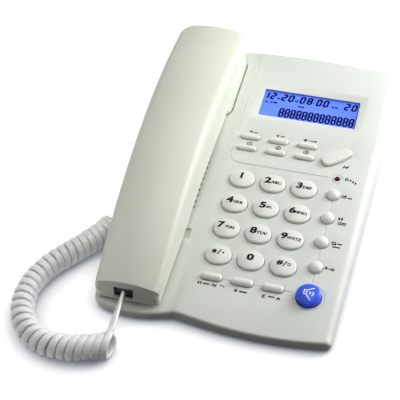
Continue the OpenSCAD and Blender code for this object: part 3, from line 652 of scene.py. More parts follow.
# How far each ring of a well is out from its outline, and its height
well_inside = ((0.8, 0), (0.4, -0.1), (0.1, -0.35), (0, -0.8), (0, -3.2), (-0.25, -3.75),
               (-0.8, -well_depth))
well_outside = ((1.8, -skin), (1.8, well_bottom + 0.4), (1.4, well_bottom))


def well_rings(outline, profile, level):
    """Rings that follow the panel's height down to level, and lie flat below."""
    rings = []
    for out, w in profile:
        points = [p + way * out for p, way in zip(outline, outward(outline))]
        rings.append(upper.ring([on_panel(p.x, p.y, w + panel_height(*p) if w > level else w)
                                 for p in points]))
    upper.walls(rings)
    return rings


def well(left, front, right, back, slot=None):
    """A cradle well: its rim, wall, floor and outside, down through the panel."""
    outline = refined(box_outline(left, front, right, back, well_r), 5)
    inside = well_rings(outline, well_inside, well_level)
    outside = well_rings(outline, well_outside, 0)
    top_slots, under_slots = [], []
    if slot:
        x, v, w, d = slot
        rings = [upper.ring([on_panel(p.x + x, p.y + v, z) for p in middle_box(w, d, 0.5, 3)])
                 for z in (-well_depth, well_bottom)]
        upper.walls(rings)
        top_slots, under_slots = rings[:1], rings[1:]
    upper.sheet(inside[-1], top_slots, panel_flat, lambda a, b: on_panel(a, b, -well_depth))
    upper.sheet(outside[-1], under_slots, panel_flat, lambda a, b: on_panel(a, b, well_bottom),
                face_up=False)
    top_holes.append(inside[0])
    under_holes.append(outside[0])


well(-66.5, 49.2, -27.3, 106.8, slot=(-47, 64, 8.8, 5.8))
well(-67.6, -107.2, -33.7, -58)
# The panel bends along its grooves, the bezel's frames and the fold beside the handset
bezel_frames, fold_lines = (0.05, 0.3, 0.55, 0.8, 1.02), (-18.6, -20.5, -22, -23.5, -25)
bends = []
for path in grooves:
    ways = []
    for i, p in enumerate(path):
        d = path[min(i + 1, len(path) - 1)] - path[max(i - 1, 0)]
        ways.append(Vector((d.y, -d.x)).normalized())
    for off in (-groove_half, 0, groove_half):
        bends.append([p + way * off for p, way in zip(path, ways)])
for grow in bezel_frames:
    left = display_x - (display_w / 2 + grow * bezel_left)
    right = display_x + (display_w / 2 + grow * bezel_right)
    front = display_v - (display_d / 2 + grow * bezel_front)
    back = display_v + (display_d / 2 + grow * bezel_back)
    bends.append([Vector(q) for q in ((left, front), (right, front), (right, back), (left, back),
                                      (left, front))])
bends += [straight((x, -105), (x, 104), 3) for x in fold_lines]
upper.sheet(rim_rings[-1], top_holes, panel_flat, panel_place, lines=bends)
upper.sheet(under_ring, under_holes, panel_flat, lambda a, b: on_panel(a, b, -skin),
            face_up=False)
top_shell = upper.piece("base_top_shell", ivory_shell, 32)
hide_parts("base_upper_housing")
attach(top_shell, "base")

# ---------------------------------------------------------------- keys
# Twenty-seven hard caps in the shell's ivory, but glossier, and one in blue.
# Each has a crowned top, a rounded edge, and a flange below the panel that
# keeps it in; they stand on the rubber membrane and go down 1.2 mm.
key_ivory = moulded("key_ivory", (221, 225, 214), (226, 230, 220), 0.28, grain=0.000006,
                    gloss_coat=0.1, specular=0.4)
key_blue = moulded("key_blue", (38, 78, 226), (48, 92, 242), 0.24, grain=0.000004,
                   gloss_coat=0.1, specular=0.3)
# The top's height and the radius of its crown, and the rounding of its edge
key_crowns = {"dial": (2.6, 26), "bar": (2.1, 2.6), "pill": (2.4, 3.2), "dot": (3.3, 5.6),
              "leaf": (2.6, 40), "talk": (4.9, 17)}
key_edges = {"dial": 0.9, "bar": 0.6, "pill": 0.7, "dot": 0.7, "leaf": 0.8, "talk": 1.1}
key_bottom, flange_t, flange_out, leaf_core = -3.5, 1, 1.2, 5.5
edge_steps, crown_rings = 6, (0.85, 0.7, 0.52, 0.34, 0.16)


def key_core(kind, p):
    """The nearest point to p on the middle line of a long key, or its centre."""
    if kind in ("bar", "pill"):
        w, d = key_kinds[kind]
        half = w / 2 - d / 2
        return Vector((max(-half, min(half, p.x)), 0))
    if kind == "leaf":
        way = Vector((cos(leaf_angle), sin(leaf_angle)))
        return way * max(-leaf_core, min(leaf_core, p.dot(way)))
    return Vector((0, 0))


def key_top(kind, p):
    """The height of a key's crowned top over the panel at p from its centre."""
    h, r = key_crowns[kind]
    far = (p - key_core(kind, p)).length
    return h - r + sqrt(r * r - min(far, r * 0.999) ** 2)


def key_cap(name, kind, x, v):
    """One cap: flange, straight wall, rounded edge and crowned top."""
    cap, edge, outline = Moulding(), key_edges[kind], key_outline(kind)
    ways = outward(outline)

    def ring(points, heights):
        return cap.ring([on_panel(p.x + x, p.y + v, w) for p, w in zip(points, heights)])

    def level_ring(points, w):
        return ring(points, [w] * len(points))

    grown = [p + way * flange_out for p, way in zip(outline, ways)]
    rings = [level_ring(grown, key_bottom), level_ring(grown, key_bottom + flange_t),
             level_ring(outline, key_bottom + flange_t)]
    # The edge's arc at each point ends where it meets the crown's own slope
    arcs = []
    for p, way in zip(outline, ways):
        fall = (key_top(kind, p - way * edge) - key_top(kind, p - way * edge * 0.5)) / (edge / 2)
        end = pi / 2 - atan2(fall, 1)
        meets = p - way * edge * (1 - cos(end))
        arcs.append((end, key_top(kind, meets) - edge * sin(end)))
    for step in range(edge_steps + 1):
        turned = [(end * step / edge_steps, centre) for end, centre in arcs]
        points = [p - way * edge * (1 - cos(a)) for p, way, (a, _) in zip(outline, ways, turned)]
        rings.append(ring(points, [centre + edge * sin(a) for a, centre in turned]))
    for share in crown_rings:
        inner = [key_core(kind, p) + (p - key_core(kind, p)) * share for p in points]
        rings.append(ring(inner, [key_top(kind, p) for p in inner]))
    cap.walls(rings)
    cap.faces += [tuple(rings[-1]), tuple(reversed(rings[0]))]
    piece = cap.piece(name + "_cap", key_blue if kind == "talk" else key_ivory, 40)
    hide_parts(name)
    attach(piece, name + "_body")


for key in keys:
    key_cap(*key)

# ---------------------------------------------------------------- handset, outer shell
# The handset's back: a thin arched moulding in the same ivory, smoother than
# the base. Its front end is cut back under a thin lip round the cord's socket.
# Two screws from inside hold it to the inner shell.
handset_ivory = moulded("handset_ivory", (220, 225, 208), (225, 230, 214), 0.36, grain=0.000008,
                        specular=0.28)
handset_front, handset_back = -109.4, 115
front_corner, back_corner, back_corner_w = 3, 10.5, 10
arch_r, arch_h, arch_top_v, crown_h = 400, 28.8, 12, 4
shell_t, shell_joint, joint_gap = 2, 6, 0.35
side_edge, side_swell, lip_edge, lip_lean, least_edge = 4.5, 3, 0.7, 2.2, 0.3
notch_left, notch_right, notch_top = -58.55, -46.65, 10.4
corner_steps, length_steps, edge_arc_steps = 9, 36, 8


def along_handset(v):
    """0 at the handset's front end, 1 at its back end."""
    return (v - handset_front) / (handset_back - handset_front)


def right_side(v):
    return -31.4 + 1.8 * along_handset(v)


def left_side(v):
    """The left side bows out towards the back."""
    return -76.9 + 6.3 * max(0, 1 - along_handset(v)) ** 1.6


def handset_half(v):
    return (right_side(v) - left_side(v)) / 2


def handset_mid(v):
    return (right_side(v) + left_side(v)) / 2


def back_height(x, v):
    """The handset's arched and crowned back, over the panel."""
    half = handset_half(v)
    r = (half * half + crown_h * crown_h) / (2 * crown_h)
    side = arch_h - arch_r + sqrt(arch_r ** 2 - (v - arch_top_v) ** 2)
    return side + crown_h - r + sqrt(r * r - (x - handset_mid(v)) ** 2)


# Rows of points across the handset: its front corners, its length, its back corners.
# Each gives its place, how far it is cut in from the side, and its way outward.
quarter = [pi / 2 * i / corner_steps for i in range(corner_steps + 1)]
rows = [(handset_front + front_corner * (1 - cos(a)), front_corner * (1 - sin(a)),
         (sin(a), -cos(a))) for a in quarter]
side_length = handset_back - handset_front - front_corner - back_corner
rows += [(handset_front + front_corner + side_length * i / length_steps, 0, (1, 0))
         for i in range(1, length_steps)]
rows += [(handset_back - back_corner * (1 - cos(a)), back_corner_w * (1 - sin(a)),
          (sin(a), cos(a))) for a in reversed(quarter)]
front_half = handset_half(handset_front) - rows[0][1]
back_half = handset_half(handset_back) - back_corner_w
# Columns along the handset, from -1 at its left to 1 at its right; two of them run
# into the edges of the notch for the cord's socket
notch_at = [(edge - handset_mid(handset_front)) / front_half for edge in (notch_left, notch_right)]
columns = [-1 + i / 8 for i in range(17)]
for edge in notch_at:
    nearest = min(range(1, len(columns) - 1), key=lambda i: abs(columns[i] - edge))
    columns[nearest] = edge
# Points of the plan all round: up the right side, then back, left side and front
border = [(handset_mid(v) + handset_half(v) - cut, v, way) for v, cut, way in rows]
border += [(handset_mid(handset_back) - c * back_half, handset_back, (0, 1))
           for c in columns[1:-1]]
border += [(handset_mid(v) - handset_half(v) + cut, v, (-way[0], way[1]))
           for v, cut, way in reversed(rows)]
border += [(handset_mid(handset_front) + c * front_half, handset_front, (0, -1))
           for c in columns[1:-1]]
border = [(Vector((x, v)), Vector(way)) for x, v, way in border]


def frontness(way):
    """1 on the front end, 0 on the sides and the back, smooth between."""
    return smooth_step(max(0, -way.y) * 1.6)


def shell_rings(inset):
    """One skin of the shell, inset from the outside: its rings from rim to top."""
    walls = []
    for p, way in border:
        front = frontness(way)
        lean = lip_lean * front
        swell = side_edge + side_swell * sin(pi * min(1, max(0, along_handset(p.y))))
        r = max(least_edge, swell + (lip_edge - swell) * front - inset)
        p = p - way * inset
        near, far = p - way * (r + lean), p - way * (r + lean + 0.5)
        fall = (back_height(*far) - back_height(*near)) / 0.5
        last = pi / 2 - atan2(fall, 1)
        meets = p - way * (lean + r * (1 - cos(last)))
        centre = back_height(*meets) - inset - r * sin(last)
        low = min(notch_top, centre - 1) if front else centre - 1
        wall = [(lean * max(0, w - shell_joint) / max(1, centre - shell_joint), w) for w in
                (shell_joint, shell_joint + joint_gap, low, centre - 0.6, centre - 0.3)]
        for i in range(edge_arc_steps + 1):
            a = last * i / edge_arc_steps
            wall.append((lean + r * (1 - cos(a)), centre + r * sin(a)))
        walls.append([(*(p - way * out), w) for out, w in wall])
    return zip(*walls)


def top_rows(top_ring, inset):
    """Fills a top ring with rows from the left side to the right one."""
    m, n = len(rows), len(columns)
    right, left = top_ring[:m], top_ring[m + n - 2:2 * m + n - 2][::-1]
    back = [left[-1]] + top_ring[m:m + n - 2][::-1] + [right[-1]]
    grid = [[left[0]] + top_ring[2 * m + n - 2:] + [right[0]]]
    for j in range(1, m - 1):
        a, b = outer_shell.verts[left[j]] / mm, outer_shell.verts[right[j]] / mm
        line = []
        for c in columns[1:-1]:
            q = a.lerp(b, (c + 1) / 2)
            v = q.y * cos(panel_tilt) + (q.z - panel_mid_z) * sin(panel_tilt)
            line.append(on_panel(q.x, v, back_height(q.x, v) - inset))
        grid.append([left[j]] + outer_shell.ring(line) + [right[j]])
    return grid + [back]


outer_shell = Moulding()
notch_from, notch_to = [2 * len(rows) + len(columns) - 3 + columns.index(c) for c in notch_at]
loop = [(i, (i + 1) % len(border)) for i in range(len(border))]
skins = []
for inset in (0, shell_t):
    rings = [outer_shell.ring([on_panel(*q) for q in level]) for level in shell_rings(inset)]
    skins.append(rings)
    # The notch leaves the two lowest levels of the front open
    faces = [(low[i], low[k], high[k], high[i])
             for level, (low, high) in enumerate(zip(rings, rings[1:]))
             for i, k in loop if level > 1 or not notch_from <= i < notch_to]
    grid = top_rows(rings[-1], inset)
    for a, b in zip(grid, grid[1:]):
        faces += [(a[i], a[i + 1], b[i + 1], b[i]) for i in range(len(columns) - 1)]
    outer_shell.faces += [face[::-1] for face in faces] if inset else faces
outside, inside = skins
# The shell's rim, with the notch's top and its two sides
for i, k in loop:
    level = 2 if notch_from <= i < notch_to else 0
    low, high = inside[level], outside[level]
    outer_shell.faces.append((low[i], low[k], high[k], high[i]))
for i, way in ((notch_from, 1), (notch_to, -1)):
    for level in (0, 1):
        face = (outside[level][i], outside[level + 1][i], inside[level + 1][i], inside[level][i])
        outer_shell.faces.append(face[::way])
handset_shell = outer_shell.piece("handset_back_shell", handset_ivory, 40)
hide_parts("handset_outer_shell")
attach(handset_shell, "handset")

# ---------------------------------------------------------------- printing on the dial keys
# Black pad-printed digits, broad and bold, each with its small letters; the
# ink lies on the crowned tops. The blue key carries a white loudspeaker sign.
print_black = moulded("print_black", (10, 11, 14), (18, 20, 23), 0.5, grain=0.000002,
                      specular=0.1)
print_white = moulded("print_white", (226, 232, 246), (238, 242, 250), 0.35, grain=0.000002)


def lettering(text, height, wide, slant, bold):
    """Flat lettering round its own middle: points in mm, and faces."""
    curve = bpy.data.curves.new("lettering", "FONT")
    curve.body = text
    curve.size = 1
    curve.offset = bold
    curve.resolution_u = 4
    holder = bpy.data.objects.new("lettering", curve)
    bpy.context.scene.collection.objects.link(holder)
    flat = bpy.data.meshes.new_from_object(
        holder.evaluated_get(bpy.context.evaluated_depsgraph_get()))
    points = [Vector((v.co.x, v.co.y)) for v in flat.vertices]
    faces = [tuple(f.vertices) for f in flat.polygons]
    bpy.data.objects.remove(holder)
    bpy.data.curves.remove(curve)
    bpy.data.meshes.remove(flat)
    low = Vector((min(q.x for q in points), min(q.y for q in points)))
    high = Vector((max(q.x for q in points), max(q.y for q in points)))
    scale, middle = height / (high.y - low.y), (low + high) / 2
    points = [(q - middle) * scale for q in points]
    return [Vector((q.x * wide + q.y * slant, q.y)) for q in points], faces


def strip(points, width):
    """A flat line of even width through points, as faces with mitred bends."""
    points = [Vector(q) for q in points]
    verts, faces = [], []
    for i, q in enumerate(points):
        a, b = points[max(i - 1, 0)], points[min(i + 1, len(points) - 1)]
        way = (b - a).normalized()
        side = Vector((-way.y, way.x))
        before = (q - a).normalized() if i else way
        stretch = 1 / max(0.5, before.dot(way))
        verts += [q + side * width / 2 * stretch, q - side * width / 2 * stretch]
    for i in range(len(points) - 1):
        faces.append((2 * i, 2 * i + 1, 2 * i + 3, 2 * i + 2))
    return verts, faces


def ink(name, parts, place, material, body, cell=0.8):
    """Lays flat parts (points, faces, x, y) on a surface, cut fine enough to bend."""
    sheet = bmesh.new()
    for points, faces, x, y in parts:
        corners = [sheet.verts.new((q.x + x, q.y + y, 0)) for q in points]
        for face in faces:
            if len(set(face)) > 2:
                sheet.faces.new([corners[i] for i in face])
    for axis in (0, 1):
        ends = [v.co[axis] for v in sheet.verts]
        at = (int(min(ends) / cell) - 1) * cell
        while at < max(ends):
            point, normal = [0, 0, 0], [0, 0, 0]
            point[axis], normal[axis] = at, 1
            bmesh.ops.bisect_plane(sheet, geom=sheet.verts[:] + sheet.edges[:] + sheet.faces[:],
                                   plane_co=point, plane_no=normal)
            at += cell
    sheet.verts.ensure_lookup_table()
    sheet.normal_update()
    for face in sheet.faces:
        if face.normal.z < 0:
            face.normal_flip()
    sheet.verts.index_update()
    verts = [place(v.co.x, v.co.y) for v in sheet.verts]
    faces = [tuple(v.index for v in face.verts) for face in sheet.faces]
    sheet.free()
    piece = mesh_piece(name, verts, faces, material)
    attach(piece, body)


def on_key(kind, x, v, ink_t=0.03):
    """Puts a point of the printing on a key's crowned top."""
    return lambda a, b: on_panel(x + a, v + b, key_top(kind, Vector((a, b))) + ink_t)


# Each key's digit, how far it stands from the key's middle, and its letters
dial_print = {
    "key_1": ("1", -0.4, ""), "key_2": ("2", -3.3, "ABC"), "key_3": ("3", -2.9, "DEF"),
    "key_4": ("4", -3.1, "GHI"), "key_5": ("5", -2, "JKL"), "key_6": ("6", -3.2, "MNO"),
    "key_7": ("7", -3.6, "PQRS"), "key_8": ("8", -3.2, "TUV"), "key_9": ("9", -4.1, "WXYZ"),
    "key_star": ("", 0, ""), "key_0": ("0", -0.4, ""), "key_hash": ("#", -2.4, ""),
}
digit_h, digit_wide, digit_slant, digit_v = 5.2, 1.26, 0.04, 1.3
one_wide, hash_h, hash_wide = 1.1, 3.8, 1.2
letters_h, letters_wide, four_wide, letters_slant, letters_x = 2.3, 1.15, 0.98, 0.08, 2.2
bold, sign_v = 0.05, 1
# The star and the slashes are drawn in strips: points, width and place
slash = ([(-0.9, -2), (0.9, 2)], 0.75)
star_r = 1.7
drawn = {
    "key_star": [([(star_r * cos(a), star_r * sin(a)), (-star_r * cos(a), -star_r * sin(a))],
                  0.85, -2.6) for a in (radians(80), radians(140), radians(200))]
    + [(*slash, 0.5), ([(-0.6, -0.1), (0.6, -0.1)], 1.2, 2.9)],
    "key_hash": [(*slash, 0.8), ([(-1.1, 0.6), (1.3, 0.6)], 0.7, 3.3),
                 ([(-1.3, -0.7), (1.1, -0.7)], 0.7, 3.3)],
}
for name, kind, x, v in keys:
    if name not in dial_print:
        continue
    digit, digit_x, letters = dial_print[name]
    parts = []
    if digit:
        height = hash_h if digit == "#" else digit_h
        wide = {"#": hash_wide, "1": one_wide}.get(digit, digit_wide)
        parts.append((*lettering(digit, height, wide, digit_slant, bold), digit_x, digit_v))
    if letters:
        wide = letters_wide if len(letters) < 4 else four_wide
        parts.append((*lettering(letters, letters_h, wide, letters_slant, bold), letters_x, 0))
    for line, width, line_at in drawn.get(name, []):
        parts.append((*strip(line, width), line_at, sign_v))
    ink(name + "_print", parts, on_key(kind, x, v), print_black, name + "_body")
# The loudspeaker sign: an outlined cone with its driver, and two waves
cone = [(2.1, 4.6), (-1.4, 1.5), (-3, 1.5), (-3, -1.5), (-1.4, -1.5), (2.1, -4.6)]
driver = [(-1.4, 1.5), (-1.4, -1.5)]
waves = [[(0.4, 1), (0.9, 0), (0.4, -1)], [(2, 1.5), (2.7, 0), (2, -1.5)]]
turn = Matrix.Rotation(radians(-8), 2)
parts = [(*strip([turn @ Vector(q) for q in line], 0.65), 0.2, 0)
         for line in [cone, driver] + waves]
ink("key_speaker_print", parts, on_key("talk", side_x, talk_v), print_white, "key_speaker_body")

# ---------------------------------------------------------------- printing on the panel
# Small black signs beside the keys, printed flat on the shell: plain arrows,
# bars, rings and numbers.
signs, ink_spread = [], 1.6


def sign(points, width, x, v):
    signs.append((*strip(points, width * ink_spread), x, v))


def bar(half, width, x, v):
    sign([(-half, 0), (half, 0)], width, x, v)


def post(half, width, x, v):
    sign([(0, -half), (0, half)], width, x, v)


def ring_line(r, start=0, end=360, steps=12, squeeze=1.0):
    return [(px * squeeze, py) for px, py in arc(0, 0, r, start, end, steps)]


# Over the upper row of menu keys: up, down, and a half-filled ring
sign([(-0.9, -0.4), (0, 0.8), (0.9, -0.4)], 0.5, -10.4, 38.6)
bar(1.4, 0.5, -7.2, 38.4)
sign([(-0.9, 0.5), (0, -0.7), (0.9, 0.5)], 0.5, 7.6, 39)
bar(1.4, 0.5, 10.8, 38.8)
sign(ring_line(0.8), 0.4, 26, 38.9)
sign([(0.1, 0.8), (0.1, -0.8)], 0.6, 26.2, 38.9)
for i in range(4):
    post(0.25 + 0.15 * i, 0.75, 28.4 + 1.5 * i, 38.9)
# Over the lower row: plain numbers in rings
for number, x, v in (("1", -9, 28), ("2", 9.9, 28.3), ("3", 28.5, 28.5)):
    signs.append((*lettering(number, 1.8, 1.5, 0.15, bold), x, v))
    sign(ring_line(1.5, squeeze=1.15), 0.3, x, v)
# Beside the leaf key, the lamp and the four side keys
sign([(-1.7, -1.2), (-0.8, 0.6), (0.4, -0.7), (1.8, 1)], 0.55, 55.8, 21.4)
sign(ring_line(0.9), 0.45, 58.2, 11.3)
for i in range(3):
    post(0.9, 0.6, 60.7 + 1.7 * i, 10.8 - 0.9 * i)
sign([(-1.2, -0.6), (1.2, -0.6), (1.2, 0.8), (-1.2, 0.8), (-1.2, -0.6)], 0.45, 59, -3.4)
bar(1.4, 0.6, 62.8, -3.9)
for i in range(2):
    post(1.1, 0.7, 59.2 + 1.7 * i, -21.2)
    bar(2.6, 0.5, 61.5, -24.2 - 1.2 * i)
sign([(-1, 0.9), (0.4, 0.9), (1, 0.3), (1, -0.9), (-1, -0.9), (-1, 0.9)], 0.45, 59.4, -40.6)
bar(1.6, 0.6, 62.9, -40.8)
bar(2.4, 0.6, 61.2, -43.4)
sign([(-0.8, -0.9), (0.8, 0), (-0.8, 0.9)], 0.5, 58.2, -59.9)
for i in range(3):
    post(0.3 + 0.35 * i, 0.6, 60.2 + 1.2 * i, -60.3)
# Under the three long keys: a pause sign, a bolt and a loop
for i in range(2):
    post(0.9, 0.6, -13.4 + 1.5 * i, -86.9)
bar(1.9, 0.6, -8.6, -87)
sign([(-1.5, -0.7), (-0.4, 0.7), (0.5, -0.7), (1.5, 0.7)], 0.5, -3.9, -87)
for i in range(2):
    sign([(-0.8, 0.9), (0.4, 0.9)], 0.45, 0.4 + 1.6 * i, -87 - 0.5 * i)
sign([(-0.4, 1), (0.5, 0.1), (-0.5, -0.1), (0.4, -1)], 0.55, 9.6, -87.7)
bar(2.3, 0.65, 14, -87.9)
sign(ring_line(0.9, 40, 320, 9), 0.5, 26.6, -88)
sign([(-2, 0.4), (2, 0.4)], 0.55, 31, -87.9)
sign([(-1.1, -0.7), (0, 0.7), (1.1, -0.7)], 0.5, 35.2, -88)
ink("panel_print", signs, lambda a, b: on_panel(a, b, panel_height(a, b) + 0.02), print_black,
    "base", 4)

# ---------------------------------------------------------------- display
# A liquid crystal panel with a blue backlight, dark blue digits and dark strips at its edges,
# partly its own border and partly painted shadow of the bezel's ledge, widest at the top and right;
# it lies behind a clear acrylic window that clips in from inside.
lcd_blue, nodes, links = new_material("lcd_blue")
shader = nodes["Principled BSDF"]
place = nodes.new("ShaderNodeTexCoord").outputs["Object"]
glow = ramp(nodes, links, noise(nodes, links, place, 30), 0.3, linear(78, 112, 240),
            0.7, linear(90, 124, 252))
links.new(glow, shader.inputs["Base Color"])
links.new(glow, shader.inputs["Emission Color"])
shader.inputs["Emission Strength"].default_value = 0.55
shader.inputs["Roughness"].default_value = 0.5
lcd_ink = moulded("lcd_ink", (3, 8, 58), (5, 12, 70), 0.8, grain=0.000002, specular=0.1)
lcd_border_and_shade = moulded("lcd_border_and_shade", (44, 54, 78), (54, 64, 88), 0.5, grain=0.000002)
lcd_w, border_and_shade_t, digits_t = -3.33, 0.03, 0.05
lcd_left, lcd_right, lcd_front, lcd_back = -10.8, 56, 56.4, 84


def flat_grid(left, right, front, back, nx, nv):
    points = [Vector((left + (right - left) * i / nx, front + (back - front) * j / nv))
              for j in range(nv + 1) for i in range(nx + 1)]
    faces = [(a, a + 1, a + nx + 2, a + nx + 1)
             for j in range(nv) for a in range(j * (nx + 1), j * (nx + 1) + nx)]
    return points, faces


def in_display(name, parts, w, material):
    ink(name, parts, lambda a, b: on_panel(a, b, w), material, "base", 20)


in_display("display_face", [(*flat_grid(lcd_left, lcd_right, lcd_front, lcd_back, 12, 5), 0, 0)],
           lcd_w, lcd_blue)
# Dark strips on the LCD: the broad ones at its top and right edges are painted shadow of the
# bezel's ledge, and the thin one near its bottom is a dark border line.
border_and_shade_lines = [([(lcd_left, 82.9), (lcd_right, 82.9)], 1.1),
               ([(54.9, lcd_front), (54.9, lcd_back)], 0.7),
               ([(lcd_left, 58.05), (lcd_right, 58.05)], 0.3)]
in_display("display_border_and_shade", [(*strip(line, width), 0, 0) for line, width in border_and_shade_lines],
           lcd_w + border_and_shade_t, lcd_border_and_shade)
# Which of a digit's seven bars are dark: top, two upper, middle, two lower, bottom
bars_of = {"0": "1110111", "1": "0010010", "2": "1011101", "8": "1111111"}


def seven_bars(digit, wide, tall, thick, slant, overlap=0.12):
    """A digit of seven straight bars with cut corners, round its own middle."""
    x, y = wide / 2 - thick / 2, tall / 2 - thick / 2
    ends = [((-x, y), (x, y)), ((-x, 0), (-x, y)), ((x, 0), (x, y)), ((-x, 0), (x, 0)),
            ((-x, -y), (-x, 0)), ((x, -y), (x, 0)), ((-x, -y), (x, -y))]
    points, faces = [], []
    for dark, (a, b) in zip(bars_of[digit], ends):
        if dark == "0":
            continue
        a, b = Vector(a), Vector(b)
        way = (b - a).normalized()
        side = Vector((-way.y, way.x)) * thick / 2
        a, b, tip = a - way * overlap, b + way * overlap, way * thick / 4
        start = len(points)
        points += [a, a + tip + side, b - tip + side, b, b - tip - side, a + tip - side]
        faces.append(tuple(range(start, start + 6)))
    return [Vector((q.x + q.y * slant, q.y)) for q in points], faces


# The upper row shows a date and a time, the lower row is all eights
upper_row, lower_row = (3.9, 6.7, 1.45, 0.16), (3.6, 8.6, 1.35, 0.03)
upper_v, lower_v, lower_x, lower_pitch = 77.5, 63.4, 4.6, 3.96
digits = [(*seven_bars(digit, *upper_row), x, upper_v) for digit, x in
          zip("1220080020", (-8.6, -3.8, 3.9, 8.7, 16.6, 21.5, 27.9, 32.6, 47.2, 52))]
digits += [(*seven_bars("8", *lower_row), lower_x + lower_pitch * i, lower_v) for i in range(13)]
# The colon's two dots, and the small marks between and under the digits
marks = [([(-0.4, 0), (0.4, 0)], 0.8, 24.9, 78.8), ([(-0.4, 0), (0.4, 0)], 0.8, 24.5, 76.2),
         ([(-0.9, -0.8), (-0.5, 0.8), (0, -0.3), (0.7, 0.8), (0.9, -0.8)], 0.7, 0, 76),
         (ring_line(0.85, squeeze=0.9), 0.7, 12.6, 75.8), ([(0, -0.7), (0, 0.7)], 1.4, -7.4, 71.5)]
marks += [([(left, 0), (right, 0)], 1.4, x, v) for left, right, x, v in (
    (-0.7, 0.7, -7.4, 71.5), (-2.4, -0.9, -2.3, 71.6), (-0.5, 2.4, -2.3, 71.6),
    (-2.1, -0.3, 16.6, 71.2), (0.2, 2.1, 16.6, 71.2), (-2.1, -0.6, 38.9, 75.3),
    (0, 2.1, 38.9, 75.3))]
digits += [(*strip(line, width), x, v) for line, width, x, v in marks]
in_display("display_digits", digits, lcd_w + digits_t, lcd_ink)

# ---------------------------------------------------------------- clear and black plastics
# The display's acrylic window, the cord's two clear plugs, the lamp's red
# lens, and the black nylon of the sockets and the hook switch.
def finish_in(material, *names):
    """Gives CAD parts that stay as they are their material."""
    for name in names:
        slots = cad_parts[name].data.materials
        slots.clear()
        slots.append(material)


def clear_plastic(name, tint, alpha, roughness):
    """See-through plastic: a tint that little of the light meets."""
    material = moulded(name, tint, tuple(c + 6 for c in tint), roughness, grain=0.000002)
    material.node_tree.nodes["Principled BSDF"].inputs["Alpha"].default_value = alpha
    return material


finish_in(clear_plastic("window_acrylic", (20, 26, 44), 0.05, 0.08), "display_window")
finish_in(clear_plastic("plug_plastic", (58, 64, 66), 0.6, 0.15), "cord_plug_handset",
          "cord_plug_base")
finish_in(moulded("lens_red", (58, 12, 18), (76, 18, 26), 0.25, grain=0.000002, specular=0.2),
          "in_use_lamp")
finish_in(moulded("black_nylon", (9, 10, 11), (17, 18, 20), 0.5, specular=0.15),
          "base_handset_jack", "line_jack", "handset_jack", "hook_switch")
finish_in(moulded("display_case", (150, 156, 162), (160, 166, 172), 0.5), "display_module")

# ---------------------------------------------------------------- lower housing and inner shell
# The base's tray with its battery cover and the handset's inner half, moulded
# in the same ivory as the shells they close, and the ivory hook plunger.
tray_ivory = moulded("tray_ivory", (212, 217, 206), (218, 223, 212), 0.4, grain=0.00003)
finish_in(tray_ivory, "base_lower_housing", "battery_cover")
finish_in(handset_ivory, "handset_inner_shell")
finish_in(key_ivory, "hook_plunger")

# ---------------------------------------------------------------- rubber, paper and metal inside
# Silicone rubber under the keys and feet, the glass-fibre circuit board, the
# paper loudspeaker, the wrapped cells, and the plated screws and weight.
def metal(name, dark, light, roughness):
    material = moulded(name, dark, light, roughness, grain=0.000005, grain_size=0.0015)
    material.node_tree.nodes["Principled BSDF"].inputs["Metallic"].default_value = 1
    return material


finish_in(moulded("silicone_grey", (120, 124, 126), (138, 142, 144), 0.7), "keypad_membrane")
finish_in(moulded("foot_rubber", (52, 53, 55), (68, 69, 71), 0.75, grain=0.00004), "rubber_feet")
finish_in(moulded("board_green", (24, 84, 46), (34, 106, 60), 0.35, grain_size=0.0015),
          "main_circuit_board")
finish_in(moulded("cone_paper", (34, 34, 37), (52, 52, 56), 0.8, grain=0.00005), "loudspeaker")
finish_in(moulded("cell_wrap", (48, 78, 128), (58, 92, 146), 0.3), "battery_cells")
finish_in(metal("zinc_plate", (168, 170, 174), (196, 198, 202), 0.32), "housing_screws",
          "handset_screws", "handset_weight")
finish_in(metal("brass_spring", (190, 152, 84), (214, 178, 108), 0.3), "battery_contacts")
finish_in(metal("capsule_can", (120, 122, 126), (142, 144, 148), 0.4), "earpiece_capsule",
          "microphone_capsule")

# ---------------------------------------------------------------- table and lamps
# A white table top with a soft shadow round what stands on it, partly cast by the lamps and partly
# painted where the phone is near, a white surround, and three soft lamps: on the right behind, high
# above, and on the left.
def seen_or_lit(nodes, links, seen, lit):
    """One shader for what is looked at, another for the light that it gives back."""
    path = nodes.new("ShaderNodeLightPath")
    mix = nodes.new("ShaderNodeMixShader")
    ray = path.outputs["Is Camera Ray"]
    for kind in ("Is Glossy Ray", "Is Transmission Ray"):
        either = nodes.new("ShaderNodeMath")
        either.operation = "MAXIMUM"
        links.new(ray, either.inputs[0])
        links.new(path.outputs[kind], either.inputs[1])
        ray = either.outputs[0]
    links.new(ray, mix.inputs["Fac"])
    links.new(lit.outputs[0], mix.inputs[1])
    links.new(seen.outputs[0], mix.inputs[2])
    return mix


table_white, nodes, links = new_material("table_white")
nodes.remove(nodes["Principled BSDF"])
# What is looked at: a grey top that glows up to white, with a painted blue-grey shadow where the
# phone is near
near = nodes.new("ShaderNodeAmbientOcclusion")
near.samples = 8
near.inputs["Distance"].default_value = 0.018
# The occlusion turns the glow blue-grey near the phone: a painted contact shadow.
painted_contact_shadow = ramp(nodes, links, near.outputs["AO"], 0.25, (0.10, 0.115, 0.15, 1),
                   0.95, (0.84, 0.84, 0.84, 1))
top_glow = nodes.new("ShaderNodeEmission")
links.new(painted_contact_shadow, top_glow.inputs["Color"])
top_shade = nodes.new("ShaderNodeBsdfDiffuse")
top_shade.inputs["Color"].default_value = (0.5, 0.5, 0.5, 1)
top_seen = nodes.new("ShaderNodeAddShader")
links.new(top_shade.outputs[0], top_seen.inputs[0])
links.new(top_glow.outputs[0], top_seen.inputs[1])
